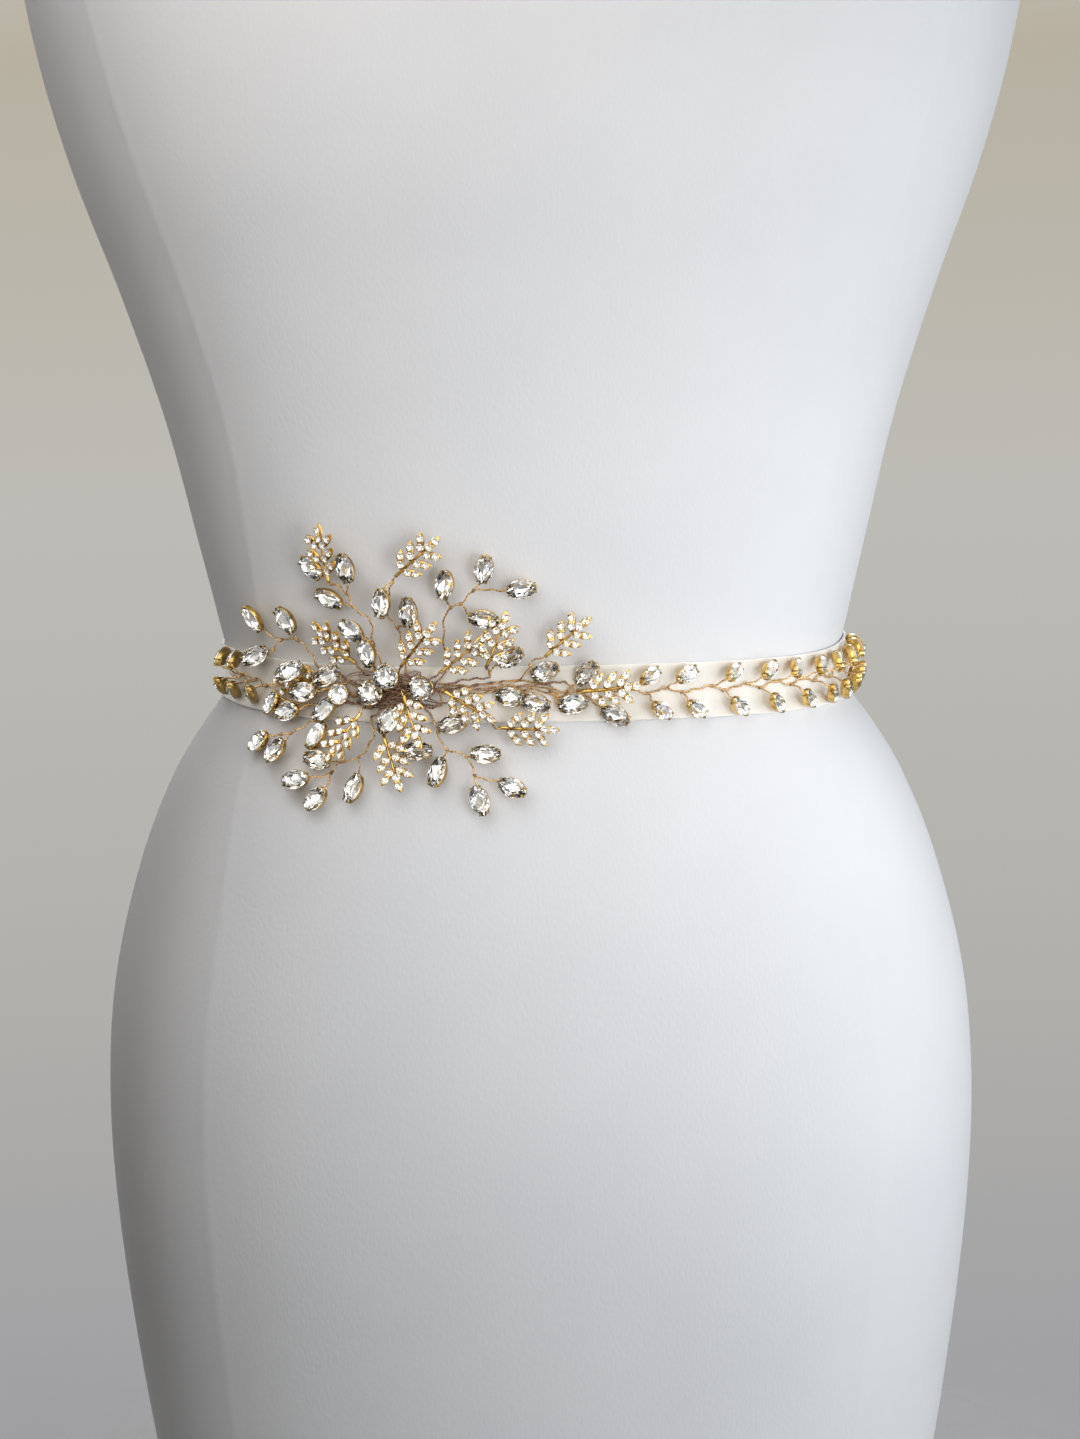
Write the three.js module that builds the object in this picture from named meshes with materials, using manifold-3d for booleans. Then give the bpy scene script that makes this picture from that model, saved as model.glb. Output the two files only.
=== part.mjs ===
// Bridal sash on a dress form, in millimetres, +Z up, the front facing -Y.
// A satin ribbon goes round the waist and laps at the centre back. Gold wire, bent into a vine along the
// ribbon and into sprays on the wearer's right, carries marquise stones in claw cups and cast fern leaves.
// The origin is the centre of the form's flat underside.
import * as THREE from 'three';
import { mergeVertices } from 'three/addons/utils/BufferGeometryUtils.js';
import Module from 'manifold-3d';

const wasm = await Module();
wasm.setup();
const { Vector2, Vector3, Matrix4, MathUtils } = THREE;

// Driving dimensions: the dress form
const WAIST_HEIGHT = 380;
const SQUARENESS = 0.04;
const FORM_SIDES = 40;
const FORM_RING_STEP = 24;
const WAIST_RING_STEP = 6;
const SHOULDER_RING_STEP = 11;
const WAIST_REACH = 30;
const SHOULDER_RISE = 300;

// Driving dimensions: the ribbon
const RIBBON_WIDTH = 22;
const RIBBON_THICKNESS = 1.1;
const RIBBON_GAP = 0.5;
const RIBBON_LAP = 36;
const RIBBON_LAP_RAMP = 40;
const RIBBON_RISES = [
  { place: -150, reach: 55, height: 4 },
  { place: 175, reach: 35, height: 3 },
];
const RIBBON_STATIONS = 80;
const RIBBON_ROWS = 4;
const SEAM_GAP = 0.35;

// Driving dimensions: wire, stones and leaves
const WIRE_RADIUS = 0.5;
const WIRE_SIDES = 4;
const WIRE_STEP = 5;
const CLUSTER_STONE = { length: 12.4, width: 7.7, pointed: 0.34, sides: 8 };
const VINE_STONE = { length: 11.5, width: 6.4, pointed: 0.38, sides: 8 };
const ROUND_SIDES = 12;
const CUP_DEPTH = 2.9;
const CUP_BASE = 0.66;
const CROWN_HEIGHT = 1.5;
const STONE_TABLE = 0.58;
const STONE_LEAN = 9;
const STONE_FACING = { right: -14, up: -5 };
const STONE_SEAT = 0.97;
const TWIG_ENTRY = 0.36;
const POST_RADIUS = 0.8;
const POST_OVERLAP = 0.5;
const LEAF = { length: 23.5, thickness: 1.6, armLength: 7.6, armWidth: 3, armAngle: 48, veinWidth: 1.3 };
const LEAF_ARMS = [0.16, 0.38, 0.6];
const KNEE_SHARE = 0.6;
const STEM_PLAY = 0.15;
const STEM_OUT = RIBBON_GAP + RIBBON_THICKNESS + SEAM_GAP + WIRE_RADIUS + STEM_PLAY;

// The vines: twigs leave the stem above and below it by turns, each fork at its own place along the ribbon.
const VINE_LEAD = 4;
const VINE_END = 8.4;
const VINE_OUT = 7.1;
const VINE_STEM_UP = 0.4;
const VINE_LEAN_SHARE = 0.5;
const VINE_TWIGS = [
  { jointUp: 1.2, reach: 8, up: 7.1, turn: 26 },
  { jointUp: -0.8, reach: 3.7, up: -8.4, turn: -32 },
];
const VINES = {
  vine_right: {
    side: 1, first: 0, pitch: 36, stoneLift: 0,
    forks: [36.5, 43.9, 50.6, 57.1, 69.2, 73.8, 83.9, 89.4, 96.4, 104.3, 109.8, 118.5, 122.8, 130.9, 138.6,
      145.1, 155.7, 162.2, 170.6, 177.1],
  },
  vine_left: {
    side: -1, first: 1, pitch: 48, stoneLift: 2.4,
    forks: [111.1, 117.5, 124, 128.5, 135],
  },
};

// A table's rows as objects, with the names of its columns.
function table(columns, rows) {
  return rows.map((row) => Object.fromEntries(columns.map((name, i) => [name, row[i]])));
}

// The form's sections: rise above the waist, half width, and depth to the front and to the back.
const FORM_SECTIONS = table(['rise', 'halfWidth', 'front', 'back'], [
  [-380, 158, 104, 116],
  [-300, 171, 112, 124],
  [-230, 179.5, 118, 131],
  [-175, 182, 120, 134],
  [-125, 178, 118, 131],
  [-75, 165.5, 113, 121],
  [-40, 151, 106, 109],
  [-20, 138.5, 100, 101],
  [-8, 130, 96.5, 97],
  [4, 127, 95, 95.5],
  [25, 131, 96, 97],
  [55, 138, 99, 101],
  [105, 150, 106, 108],
  [155, 166, 118, 115],
  [205, 184, 131, 119],
  [250, 196.5, 133, 121],
  [290, 203, 124, 119],
  [322, 201, 110, 113],
  [346, 190, 97, 105],
  [366, 167, 86, 96],
  [381, 136, 76, 87],
  [393, 102, 67, 78],
  [404, 76, 60, 70],
  [420, 61, 55, 63],
  [445, 56.5, 52, 59],
  [466, 55, 51, 57],
  [472, 51, 47, 53],
]);

// Places on the sash: along the ribbon from the centre front, up from its middle and out from the form.
// Each spray's wire goes from its root on the ribbon to its last fork. It may end in a leaf of the same name.
const SPRAYS = {
  upper_left: [[-57, 8, STEM_OUT], [-60, 22, 5], [-59.5, 29.5, 5.5], [-65, 35, 6], [-66.5, 40, 6.5],
    [-69.5, 44, 7]],
  upper_middle: [[-49, 9, STEM_OUT], [-50, 26, 4], [-53, 32, 5], [-51.5, 41, 6]],
  upper_right: [[-34, 9, STEM_OUT], [-33, 27, 5], [-31, 34, 6], [-26, 37, 6.5], [-21, 42, 7]],
  right_inner: [[-17, 7, STEM_OUT], [-16.8, 9.5, 6]],
  right: [[-9, 5.5, STEM_OUT], [-5, 6.6, 3.5], [-2.3, 10, 4], [-0.6, 13.5, 5]],
  inner: [[-60, 8, STEM_OUT], [-59.5, 12, 9], [-59, 23, 12]],
  left_upper: [[-84, 8, STEM_OUT], [-85, 16, 5], [-89, 22, 6], [-97, 22, 6], [-101, 18, 6]],
  left: [[-71, 6, STEM_OUT], [-77, 3, 7], [-83, 1, 8]],
  left_low: [[-76, -4, STEM_OUT], [-84, -5, 4.5], [-92, -4.6, 5], [-98, -3.8, 5.5]],
  lower_outer: [[-80, -9, STEM_OUT], [-84.5, -13, 5], [-88, -17, 6], [-92, -18, 6.5]],
  lower_left: [[-62, -9, STEM_OUT], [-58, -17, 5], [-60.5, -25, 6], [-66, -27, 6.5], [-68, -31, 7]],
  lower_middle: [[-50, -4, STEM_OUT], [-49, -9, 5], [-47.5, -20, 6]],
  lower_right: [[-39, -8, STEM_OUT], [-35, -15, 5], [-31.5, -21, 6], [-23.5, -24.5, 6.5], [-20, -31.5, 7]],
  stem_right: [[-37, 2.9, STEM_OUT], [-24.6, 1.9, STEM_OUT], [-10, 3.6, STEM_OUT], [3, 2.8, STEM_OUT],
    [10, -0.9, STEM_OUT], [17, 1.3, STEM_OUT],
    [VINES.vine_right.forks[0] - VINE_LEAD - SEAM_GAP, VINE_STEM_UP, STEM_OUT]],
};

// The marquise stones: the share of the spray's wire where the twig leaves it, the stone's middle, and the
// way that its far tip points, in degrees anticlockwise from the ribbon's run to the right. Some are bent
// to the front by a pitch of their own.
const STONES = table(['spray', 'share', 'along', 'up', 'out', 'turn', 'pitch'], [
  ['upper_left', 0.88, -79, 51, 7, 149],
  ['upper_left', 0.8, -66, 51, 8, 100],
  ['upper_left', 0.68, -74.5, 38.5, 6, 157],
  ['upper_middle', 0.95, -54.5, 37.5, 9.5, 255],
  ['upper_middle', 0.45, -45.4, 33.6, 7.5, 90],
  ['upper_right', 0.7, -31.5, 44, 7, 75],
  ['upper_right', 1, -17, 50, 7, 75],
  ['upper_right', 1, -4, 42, 6, 8],
  ['upper_right', 0.8, -18, 30.4, 7, 352],
  ['right_inner', 0.4, -9, 15.5, 7.5, 30],
  ['right', 0.6, 4, 9.5, 6.5, 20],
  ['inner', 1, -65.5, 27.5, 13, 150],
  ['inner', 0.4, -61.5, 18.7, 12, 100],
  ['left_upper', 0.8, -108, 30, 7, 125],
  ['left_upper', 0.55, -93, 30, 7, 123],
  ['left_upper', 1, -109.5, 15.6, 8, 202, -28],
  ['left', 0.5, -93.2, 10.4, 10, 203, -22],
  ['left', 0.3, -79.2, 8.3, 8.2, 205, -8],
  ['left', 1, -88.6, 0.4, 8.6, 185, -4],
  ['left_low', 1, -104, -5.4, 6, 215],
  ['left_low', 0.5, -94.7, -9, 7, 190],
  ['left_low', 0.05, -79, -7, 9, 230],
  ['lower_outer', 1, -100.4, -21, 7, 200],
  ['lower_outer', 0.8, -92, -24, 7, 225],
  ['lower_outer', 0.2, -79, -17.5, 6.5, 265],
  ['lower_left', 1, -80, -34, 7, 188],
  ['lower_left', 1, -71.4, -40.5, 7, 220],
  ['lower_left', 0.6, -59.7, -36.3, 7, 250],
  ['lower_left', 0.8, -75, -26.5, 6.5, 170],
  ['lower_middle', 0.1, -52.8, -11.6, 11.3, 250, 6],
  ['lower_middle', 1, -41, -22, 5.2, 0, -6],
  ['lower_right', 0.25, -30, -12, 6.5, 8],
  ['lower_right', 0.5, -33, -30, 6, 262],
  ['lower_right', 0.75, -17, -23.5, 7, 355],
  ['lower_right', 1, -18, -40.5, 7, 290],
  ['lower_right', 1, -7.7, -36, 7, 340],
  ['stem_right', 0.35, -9.3, -1, 6.2, 350],
  ['stem_right', 0.5, 0.2, -3.7, 7, 345],
  ['stem_right', 0.62, 14.5, -4.5, 6.2, 10],
  ['stem_right', 0.65, 19.8, 8.4, 6, 45],
  ['stem_right', 0.78, 29.7, -9.7, 6.2, 335],
]);

// The cast leaves: the leaf's middle, the way its tip points, how it is tilted, and its stem's root on the
// ribbon. A leaf with no root of its own sits on the end of the spray that it is named after.
const LEAVES = table(['name', 'along', 'up', 'out', 'turn', 'roll', 'pitch', 'rootAlong', 'rootUp'], [
  ['upper_left', -71.6, 57.6, 11.5, 90, -18, 0],
  ['upper_middle', -39.8, 55.4, 8, 39, -6, 0],
  ['right_inner', -13.2, 23.4, 12.2, 68, 16, 0],
  ['right', 12.4, 23.4, 8, 40, -22, 0],
  ['centre_up', -42, 21.6, 11.5, 48, 0, -6, -52, 4],
  ['centre_right', -26, 17.3, 8.2, 37, 12, 4, -38.5, 7.5],
  ['centre_left', -74.4, 21.6, 8, 132, -16, 0, -66, 8],
  ['centre_low_left', -67, -18.6, 10.5, 250, 10, 4, -65, -5],
  ['low', -48.2, -27.2, 8.2, 298, -10, 2, -57, -9],
  ['centre_low', -43.5, -12.7, 15.2, 300, 8, -6, -46, -1],
  ['centre_low_right', -24, -5.2, 10.8, 330, 10, 0, -35.5, -4],
  ['low_right', -2.3, -14.5, 7, 357, 16, 0, -17, -8],
  ['vine', 29, 2, 9.2, 5, 0, 0, 12, 5],
  ['far_left', -94.2, 5.4, 4.1, 182, 6, 0, -80, 4],
]);

// The round and oval stones that stand on posts at the heart of the sprays.
const ROUND_STONES = table(['name', 'along', 'up', 'out', 'length', 'width'], [
  ['heart', -54.5, 9.2, 15, 10, 10],
  ['heart_left', -61.7, 1, 11, 10.4, 9.6],
  ['heart_far_left', -72.7, 0.1, 13, 8, 8],
  ['heart_right', -42.8, 3.6, 10.4, 10.4, 9.4],
]);

// The form's section at a rise, on a smooth curve through the table.
function sectionAt(rise) {
  const rows = FORM_SECTIONS;
  const next = rows.findIndex((row, i) => i > 0 && (rise <= row.rise || i === rows.length - 1));
  const [low, high] = [rows[next - 1], rows[next]];
  const before = rows[Math.max(next - 2, 0)];
  const after = rows[Math.min(next + 1, rows.length - 1)];
  const span = high.rise - low.rise;
  const t = (rise - low.rise) / span;
  const blend = (name) => {
    const lowSlope = (high[name] - before[name]) / (high.rise - before.rise);
    const highSlope = (after[name] - low[name]) / (after.rise - low.rise);
    return (2 * t ** 3 - 3 * t ** 2 + 1) * low[name] + (t ** 3 - 2 * t ** 2 + t) * span * lowSlope
      + (3 * t ** 2 - 2 * t ** 3) * high[name] + (t ** 3 - t ** 2) * span * highSlope;
  };
  return { halfWidth: blend('halfWidth'), front: blend('front'), back: blend('back') };
}

// A point of the form's surface: turn is 0 at the centre front and a quarter turn at +X.
function formPoint(turn, rise) {
  const { halfWidth, front, back } = sectionAt(rise);
  const depth = Math.cos(turn) > 0 ? front : back;
  return new Vector3(
    halfWidth * (Math.sin(turn) + SQUARENESS * Math.sin(3 * turn)) / (1 - SQUARENESS),
    -depth * (Math.cos(turn) - SQUARENESS * Math.cos(3 * turn)) / (1 - SQUARENESS),
    WAIST_HEIGHT + rise,
  );
}

// Lengths round half of the waist, and the turn that a length along the ribbon comes to.
const WAIST_STEPS = 720;
const waistTurn = (step) => Math.PI * step / WAIST_STEPS;
const waistLengths = [0];
for (let step = 1; step <= WAIST_STEPS; step++) {
  const chord = formPoint(waistTurn(step), 0).distanceTo(formPoint(waistTurn(step - 1), 0));
  waistLengths.push(waistLengths[step - 1] + chord);
}
const HALF_GIRTH = waistLengths[WAIST_STEPS];

function turnAlong(along) {
  const length = Math.abs(along);
  if (length > HALF_GIRTH) return Math.sign(along) * (2 * Math.PI - turnAlong(2 * HALF_GIRTH - length));
  const step = Math.max(1, waistLengths.findIndex((reached) => reached >= length));
  const part = (length - waistLengths[step - 1]) / (waistLengths[step] - waistLengths[step - 1]);
  return Math.sign(along) * waistTurn(step - 1 + part);
}

// The form's surface at a place on the sash, with the directions right, up and out there.
function surfaceAt(along, up) {
  const turn = turnAlong(along);
  const [small, rise] = [0.001, 0.1];
  const right = formPoint(turn + small, up).sub(formPoint(turn - small, up)).normalize();
  const lift = formPoint(turn, up + rise).sub(formPoint(turn, up - rise)).normalize();
  return { foot: formPoint(turn, up), right, lift, out: right.clone().cross(lift).normalize() };
}

function onForm(along, up, out) {
  const { foot, out: normal } = surfaceAt(along, up);
  return foot.addScaledVector(normal, out);
}

// The frame of a piece on the sash: X along its length and Z out of the form, with a lean in roll and pitch.
function pieceFrame({ along, up, out, turn }, lean = [0, 0]) {
  const { right, lift, out: normal } = surfaceAt(along, up);
  const angle = MathUtils.degToRad(turn);
  const ahead = right.clone().multiplyScalar(Math.cos(angle)).addScaledVector(lift, Math.sin(angle));
  ahead.addScaledVector(normal, -ahead.dot(normal)).normalize();
  const side = normal.clone().cross(ahead);
  const [roll, pitch] = lean.map(MathUtils.degToRad);
  return new Matrix4().makeBasis(ahead, side, normal).setPosition(onForm(along, up, out))
    .multiply(new Matrix4().makeRotationX(roll)).multiply(new Matrix4().makeRotationY(pitch));
}

// Hand-bent twigs lean a little, each its own way.
const leanOf = (index) => [STONE_LEAN * Math.sin(2.4 * index), STONE_LEAN * Math.sin(1.7 * index + 1)];

// A cluster stone's lean, turned so that the stones face a little to the left and down on the whole.
function facingLean(index, turn) {
  const [roll, pitch] = leanOf(index);
  const [c, s] = [Math.cos(MathUtils.degToRad(turn)), Math.sin(MathUtils.degToRad(turn))];
  const { right, up } = STONE_FACING;
  return [roll + right * s - up * c, pitch + right * c + up * s];
}

// A closed geometry through rings of equal point counts, each anticlockwise seen from the last ring's side.
function loft(rings) {
  const count = rings[0].length;
  const index = [];
  rings.slice(1).forEach((_, level) => {
    for (let j = 0; j < count; j++) {
      const [a, b] = [level * count + j, level * count + (j + 1) % count];
      index.push(a, b, b + count, a, b + count, a + count);
    }
  });
  const top = (rings.length - 1) * count;
  for (let j = 0; j < count / 2 - 1; j++) {
    const [a, b, c, d] = [j, j + 1, count - 2 - j, count - 1 - j];
    index.push(a, c, b, a, d, c);
    index.push(top + a, top + b, top + c, top + a, top + c, top + d);
  }
  return new THREE.BufferGeometry().setFromPoints(rings.flat()).setIndex(index);
}

// Closed geometries to solids for joining, and a joined solid back to a geometry.
function solidOf(geometry) {
  const bare = geometry.clone();
  bare.deleteAttribute('normal');
  bare.deleteAttribute('uv');
  const merged = mergeVertices(bare, 1e-4);
  return new wasm.Manifold(new wasm.Mesh({
    numProp: 3,
    vertProperties: merged.attributes.position.array,
    triVerts: new Uint32Array(merged.index.array),
  }));
}

function joined(geometries) {
  const mesh = geometries.map(solidOf).reduce((whole, piece) => whole.add(piece)).getMesh();
  return new THREE.BufferGeometry()
    .setAttribute('position', new THREE.BufferAttribute(mesh.vertProperties, 3))
    .setIndex(new THREE.BufferAttribute(mesh.triVerts, 1));
}

// The dress form: rings close together at the waist, wider apart above and below.
function dressForm() {
  const [bottom, top] = [FORM_SECTIONS[0].rise, FORM_SECTIONS.at(-1).rise];
  const rises = [bottom];
  while (rises.at(-1) < top) {
    const rise = rises.at(-1);
    const near = Math.abs(rise + WAIST_RING_STEP) < WAIST_REACH;
    const step = near ? WAIST_RING_STEP : FORM_RING_STEP;
    rises.push(Math.min(rise + (rise >= SHOULDER_RISE ? SHOULDER_RING_STEP : step), top));
  }
  return loft(rises.map((rise) => Array.from({ length: FORM_SIDES }, (_, j) =>
    formPoint(2 * Math.PI * j / FORM_SIDES, rise))));
}

// The ribbon's clearance from the form: its right-hand end rises over the left-hand end at the lap.
function ribbonGap(along) {
  const lapStart = HALF_GIRTH - RIBBON_LAP / 2 - SEAM_GAP;
  const over = MathUtils.smoothstep(along, lapStart - RIBBON_LAP_RAMP, lapStart);
  return RIBBON_GAP + over * (RIBBON_THICKNESS + SEAM_GAP);
}

// The ribbon's middle rides a little higher at the wearer's sides.
function ribbonRise(along) {
  let rise = 0;
  for (const { place, reach, height } of RIBBON_RISES) {
    rise += height * Math.exp(-(((along - place) / reach) ** 2));
  }
  return rise;
}

function ribbon() {
  const reach = HALF_GIRTH + RIBBON_LAP / 2;
  const rows = Array.from({ length: RIBBON_ROWS }, (_, r) => RIBBON_WIDTH * (r / (RIBBON_ROWS - 1) - 0.5));
  return loft(Array.from({ length: RIBBON_STATIONS + 1 }, (_, station) => {
    const along = reach * (2 * station / RIBBON_STATIONS - 1);
    const gap = ribbonGap(along);
    const heights = rows.map((up) => up + ribbonRise(along));
    const inner = heights.map((up) => onForm(along, up, gap));
    const outer = heights.map((up) => onForm(along, up, gap + RIBBON_THICKNESS));
    return [...inner, ...outer.reverse()];
  }));
}

// A wire of round section through points on the sash.
function wire(points, radius = WIRE_RADIUS) {
  const path = new THREE.CatmullRomCurve3(points);
  const section = new THREE.Shape(Array.from({ length: WIRE_SIDES }, (_, j) => {
    const angle = 2 * Math.PI * j / WIRE_SIDES;
    return new Vector2(radius * Math.cos(angle), radius * Math.sin(angle));
  }));
  const steps = points.length === 2 ? 1 : Math.round(path.getLength() / WIRE_STEP) + 1;
  return new THREE.ExtrudeGeometry(section, { steps, extrudePath: path, bevelEnabled: false });
}

// A stone's outline at a share of its size: round when pointed is 0, a marquise above that.
function stoneOutline({ length, width, pointed, sides }, share, height) {
  return Array.from({ length: sides }, (_, j) => {
    const angle = 2 * Math.PI * j / sides;
    const across = Math.sin(angle) * Math.abs(Math.sin(angle)) ** pointed;
    return new Vector3(share * length / 2 * Math.cos(angle), share * width / 2 * across, height);
  });
}

// A set stone: the claw cup below the girdle and the cut crown above it, its middle at the girdle.
function setStone(size, frame) {
  return loft([
    stoneOutline(size, CUP_BASE, -CUP_DEPTH),
    stoneOutline(size, 1, 0),
    stoneOutline(size, STONE_TABLE, CROWN_HEIGHT),
  ]).applyMatrix4(frame);
}

// The point where a twig enters the cup, at the near end of a stone.
function stoneRoot(size, frame) {
  return new Vector3(-TWIG_ENTRY * size.length, 0, -CUP_DEPTH / 2).applyMatrix4(frame);
}

// A cast leaf in its own plane: a vein with arms on both sides and one at the tip.
// An arm's outline is a list of shares of its length and width, from the vein out to its point and back.
const ARM_OUTLINE = [[0, -0.1], [0.45, -0.5], [0.82, -0.45], [1, 0], [0.82, 0.45], [0.45, 0.5], [0.2, 0.3]];

function leafOutline() {
  const { length, armLength, armWidth, armAngle, veinWidth } = LEAF;
  const angle = MathUtils.degToRad(armAngle);
  const ahead = new Vector2(Math.cos(angle), Math.sin(angle));
  const aside = new Vector2(Math.sin(angle), -Math.cos(angle));
  const arm = (place) => ARM_OUTLINE.map(([reach, half]) =>
    new Vector2(length * (place - 0.5), veinWidth / 2)
      .addScaledVector(ahead, reach * armLength)
      .addScaledVector(aside, half * armWidth));
  const tip = [
    new Vector2(length * 0.2, veinWidth / 2),
    new Vector2(length * 0.28, armWidth / 2),
    new Vector2(length * 0.44, armWidth * 0.42),
  ];
  const half = [new Vector2(-length / 2, veinWidth / 2), ...LEAF_ARMS.flatMap(arm), ...tip];
  const mirrored = half.map((point) => new Vector2(point.x, -point.y)).reverse();
  return [...half, new Vector2(length / 2, 0), ...mirrored].reverse();
}

function leafPlate(frame) {
  const outline = new THREE.Shape(leafOutline());
  const plate = new THREE.ExtrudeGeometry(outline, { depth: LEAF.thickness, bevelEnabled: false });
  return plate.translate(0, 0, -LEAF.thickness / 2).applyMatrix4(frame);
}

const leafFrame = (row) => pieceFrame(row, [row.roll, row.pitch]);
const leafBase = (frame, past = 0) => new Vector3(-LEAF.length / 2 + past, 0, 0).applyMatrix4(frame);

function leaf(row) {
  const frame = leafFrame(row);
  if (row.rootAlong === undefined) return leafPlate(frame);
  const root = onForm(row.rootAlong, row.rootUp, STEM_OUT);
  const knee = root.clone().lerp(leafBase(frame, -2), KNEE_SHARE);
  return joined([leafPlate(frame), wire([root, knee, leafBase(frame, -1), leafBase(frame, 3)])]);
}

// A spray: its wire, and for each stone a twig and the set stone.
function spray(name) {
  const carried = LEAVES.find((row) => row.name === name && row.rootAlong === undefined);
  const points = SPRAYS[name].map((place) => onForm(...place));
  if (carried) points.push(leafBase(leafFrame(carried), -SEAM_GAP));
  const path = new THREE.CatmullRomCurve3(points);
  const pieces = [wire(points)];
  STONES.forEach((row, index) => {
    if (row.spray !== name) return;
    const frame = pieceFrame(row, row.pitch === undefined ? facingLean(index, row.turn) : [0, row.pitch]);
    pieces.push(wire([path.getPointAt(row.share), stoneRoot(CLUSTER_STONE, frame)]));
    pieces.push(setStone(CLUSTER_STONE, frame));
  });
  return joined(pieces);
}

// A vine: side is 1 to the right and -1 to the left, and first is the twig that its first fork carries.
function vine({ side, first, pitch, stoneLift, forks }) {
  const stemPoint = (place, up) => onForm(side * place, up + ribbonRise(side * place), STEM_OUT);
  const stem = [stemPoint(forks[0] - VINE_LEAD, VINE_STEM_UP)];
  const twigs = [];
  forks.forEach((place, number) => {
    const { jointUp, reach, up, turn } = VINE_TWIGS[(first + number) % VINE_TWIGS.length];
    const along = side * (place + reach);
    const height = up + stoneLift + ribbonRise(along);
    const heading = side > 0 ? turn : 180 - turn;
    const [roll, tip] = leanOf(number).map((lean) => VINE_LEAN_SHARE * lean);
    const frame = pieceFrame({ along, up: height, out: VINE_OUT, turn: heading }, [roll, pitch + tip]);
    const fork = stemPoint(place, jointUp);
    stem.push(fork);
    twigs.push(wire([fork, stoneRoot(VINE_STONE, frame)]), setStone(VINE_STONE, frame));
  });
  stem.push(stemPoint(forks.at(-1) + VINE_END, VINE_STEM_UP));
  return joined([wire(stem), ...twigs]);
}

// A stone on a post: the gold cup with its post, and the stone seated in the cup a seam's gap above it.
function postedStone(row) {
  const size = { ...row, pointed: 0, sides: ROUND_SIDES };
  const frame = pieceFrame({ ...row, turn: 0 });
  const foot = onForm(row.along, row.up, RIBBON_GAP + RIBBON_THICKNESS + SEAM_GAP);
  const neck = new Vector3(0, 0, -CUP_DEPTH + POST_OVERLAP).applyMatrix4(frame);
  const cup = loft([stoneOutline(size, CUP_BASE, -CUP_DEPTH), stoneOutline(size, 1, -SEAM_GAP)]);
  const stone = loft([stoneOutline(size, STONE_SEAT, 0), stoneOutline(size, STONE_TABLE, CROWN_HEIGHT)]);
  const post = wire([foot, neck], POST_RADIUS);
  return { cup: joined([cup.applyMatrix4(frame), post]), stone: stone.applyMatrix4(frame) };
}

function material(color, roughness, metalness) {
  return new THREE.MeshStandardMaterial({ color, roughness, metalness });
}
const COVER = material('#e6e6e6', 0.9, 0);
const SATIN = material('#f1ead8', 0.45, 0);
const GOLD = material('#c79a52', 0.3, 1);
const CRYSTAL = material('#eef0f2', 0.05, 0);

const sash = new THREE.Group();
function put(name, geometry, finish) {
  const mesh = new THREE.Mesh(geometry, finish);
  mesh.name = name;
  sash.add(mesh);
}

put('dress_form', dressForm(), COVER);
put('ribbon', ribbon(), SATIN);
Object.keys(SPRAYS).forEach((name) => put(`spray_${name}`, spray(name), GOLD));
LEAVES.forEach((row) => put(`leaf_${row.name}`, leaf(row), GOLD));
Object.entries(VINES).forEach(([name, row]) => put(name, vine(row), GOLD));
ROUND_STONES.forEach((row) => {
  const { cup, stone } = postedStone(row);
  put(`cup_${row.name}`, cup, GOLD);
  put(`stone_${row.name}`, stone, CRYSTAL);
});

export default sash;
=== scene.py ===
"""Bridal sash on a dress form: ribbon, wire sprays, cut stones and cast leaves on the packed solids.

Sizes are in millimetres until a mesh is made. Places on the sash are given along the ribbon from the centre
front, up from the ribbon's middle, and out from the form's surface, as the solids give them.
"""

import math
from itertools import zip_longest
from types import SimpleNamespace

import bmesh
import bpy
import numpy as np
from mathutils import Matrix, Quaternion, Vector


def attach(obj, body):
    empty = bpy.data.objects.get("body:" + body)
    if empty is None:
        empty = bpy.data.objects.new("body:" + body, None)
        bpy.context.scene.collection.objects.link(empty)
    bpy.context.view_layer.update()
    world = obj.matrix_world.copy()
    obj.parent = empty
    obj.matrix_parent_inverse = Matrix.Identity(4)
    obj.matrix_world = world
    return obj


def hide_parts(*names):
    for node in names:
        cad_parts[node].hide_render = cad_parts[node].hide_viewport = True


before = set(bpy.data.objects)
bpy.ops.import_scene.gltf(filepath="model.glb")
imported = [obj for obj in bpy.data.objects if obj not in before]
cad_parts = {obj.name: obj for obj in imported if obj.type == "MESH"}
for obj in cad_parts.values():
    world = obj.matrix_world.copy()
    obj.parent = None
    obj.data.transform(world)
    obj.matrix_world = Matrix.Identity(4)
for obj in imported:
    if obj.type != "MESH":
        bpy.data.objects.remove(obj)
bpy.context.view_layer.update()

MM = 0.001
ROOT = "root"

# The dress form and the ribbon, as in the solids
WAIST_HEIGHT = 380
SQUARENESS = 0.04
RIBBON_WIDTH = 22
RIBBON_THICKNESS = 1.1
RIBBON_GAP = 0.5
RIBBON_LAP = 36
RIBBON_LAP_RAMP = 40
SEAM_GAP = 0.35
STEM_OUT = 2.6

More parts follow.
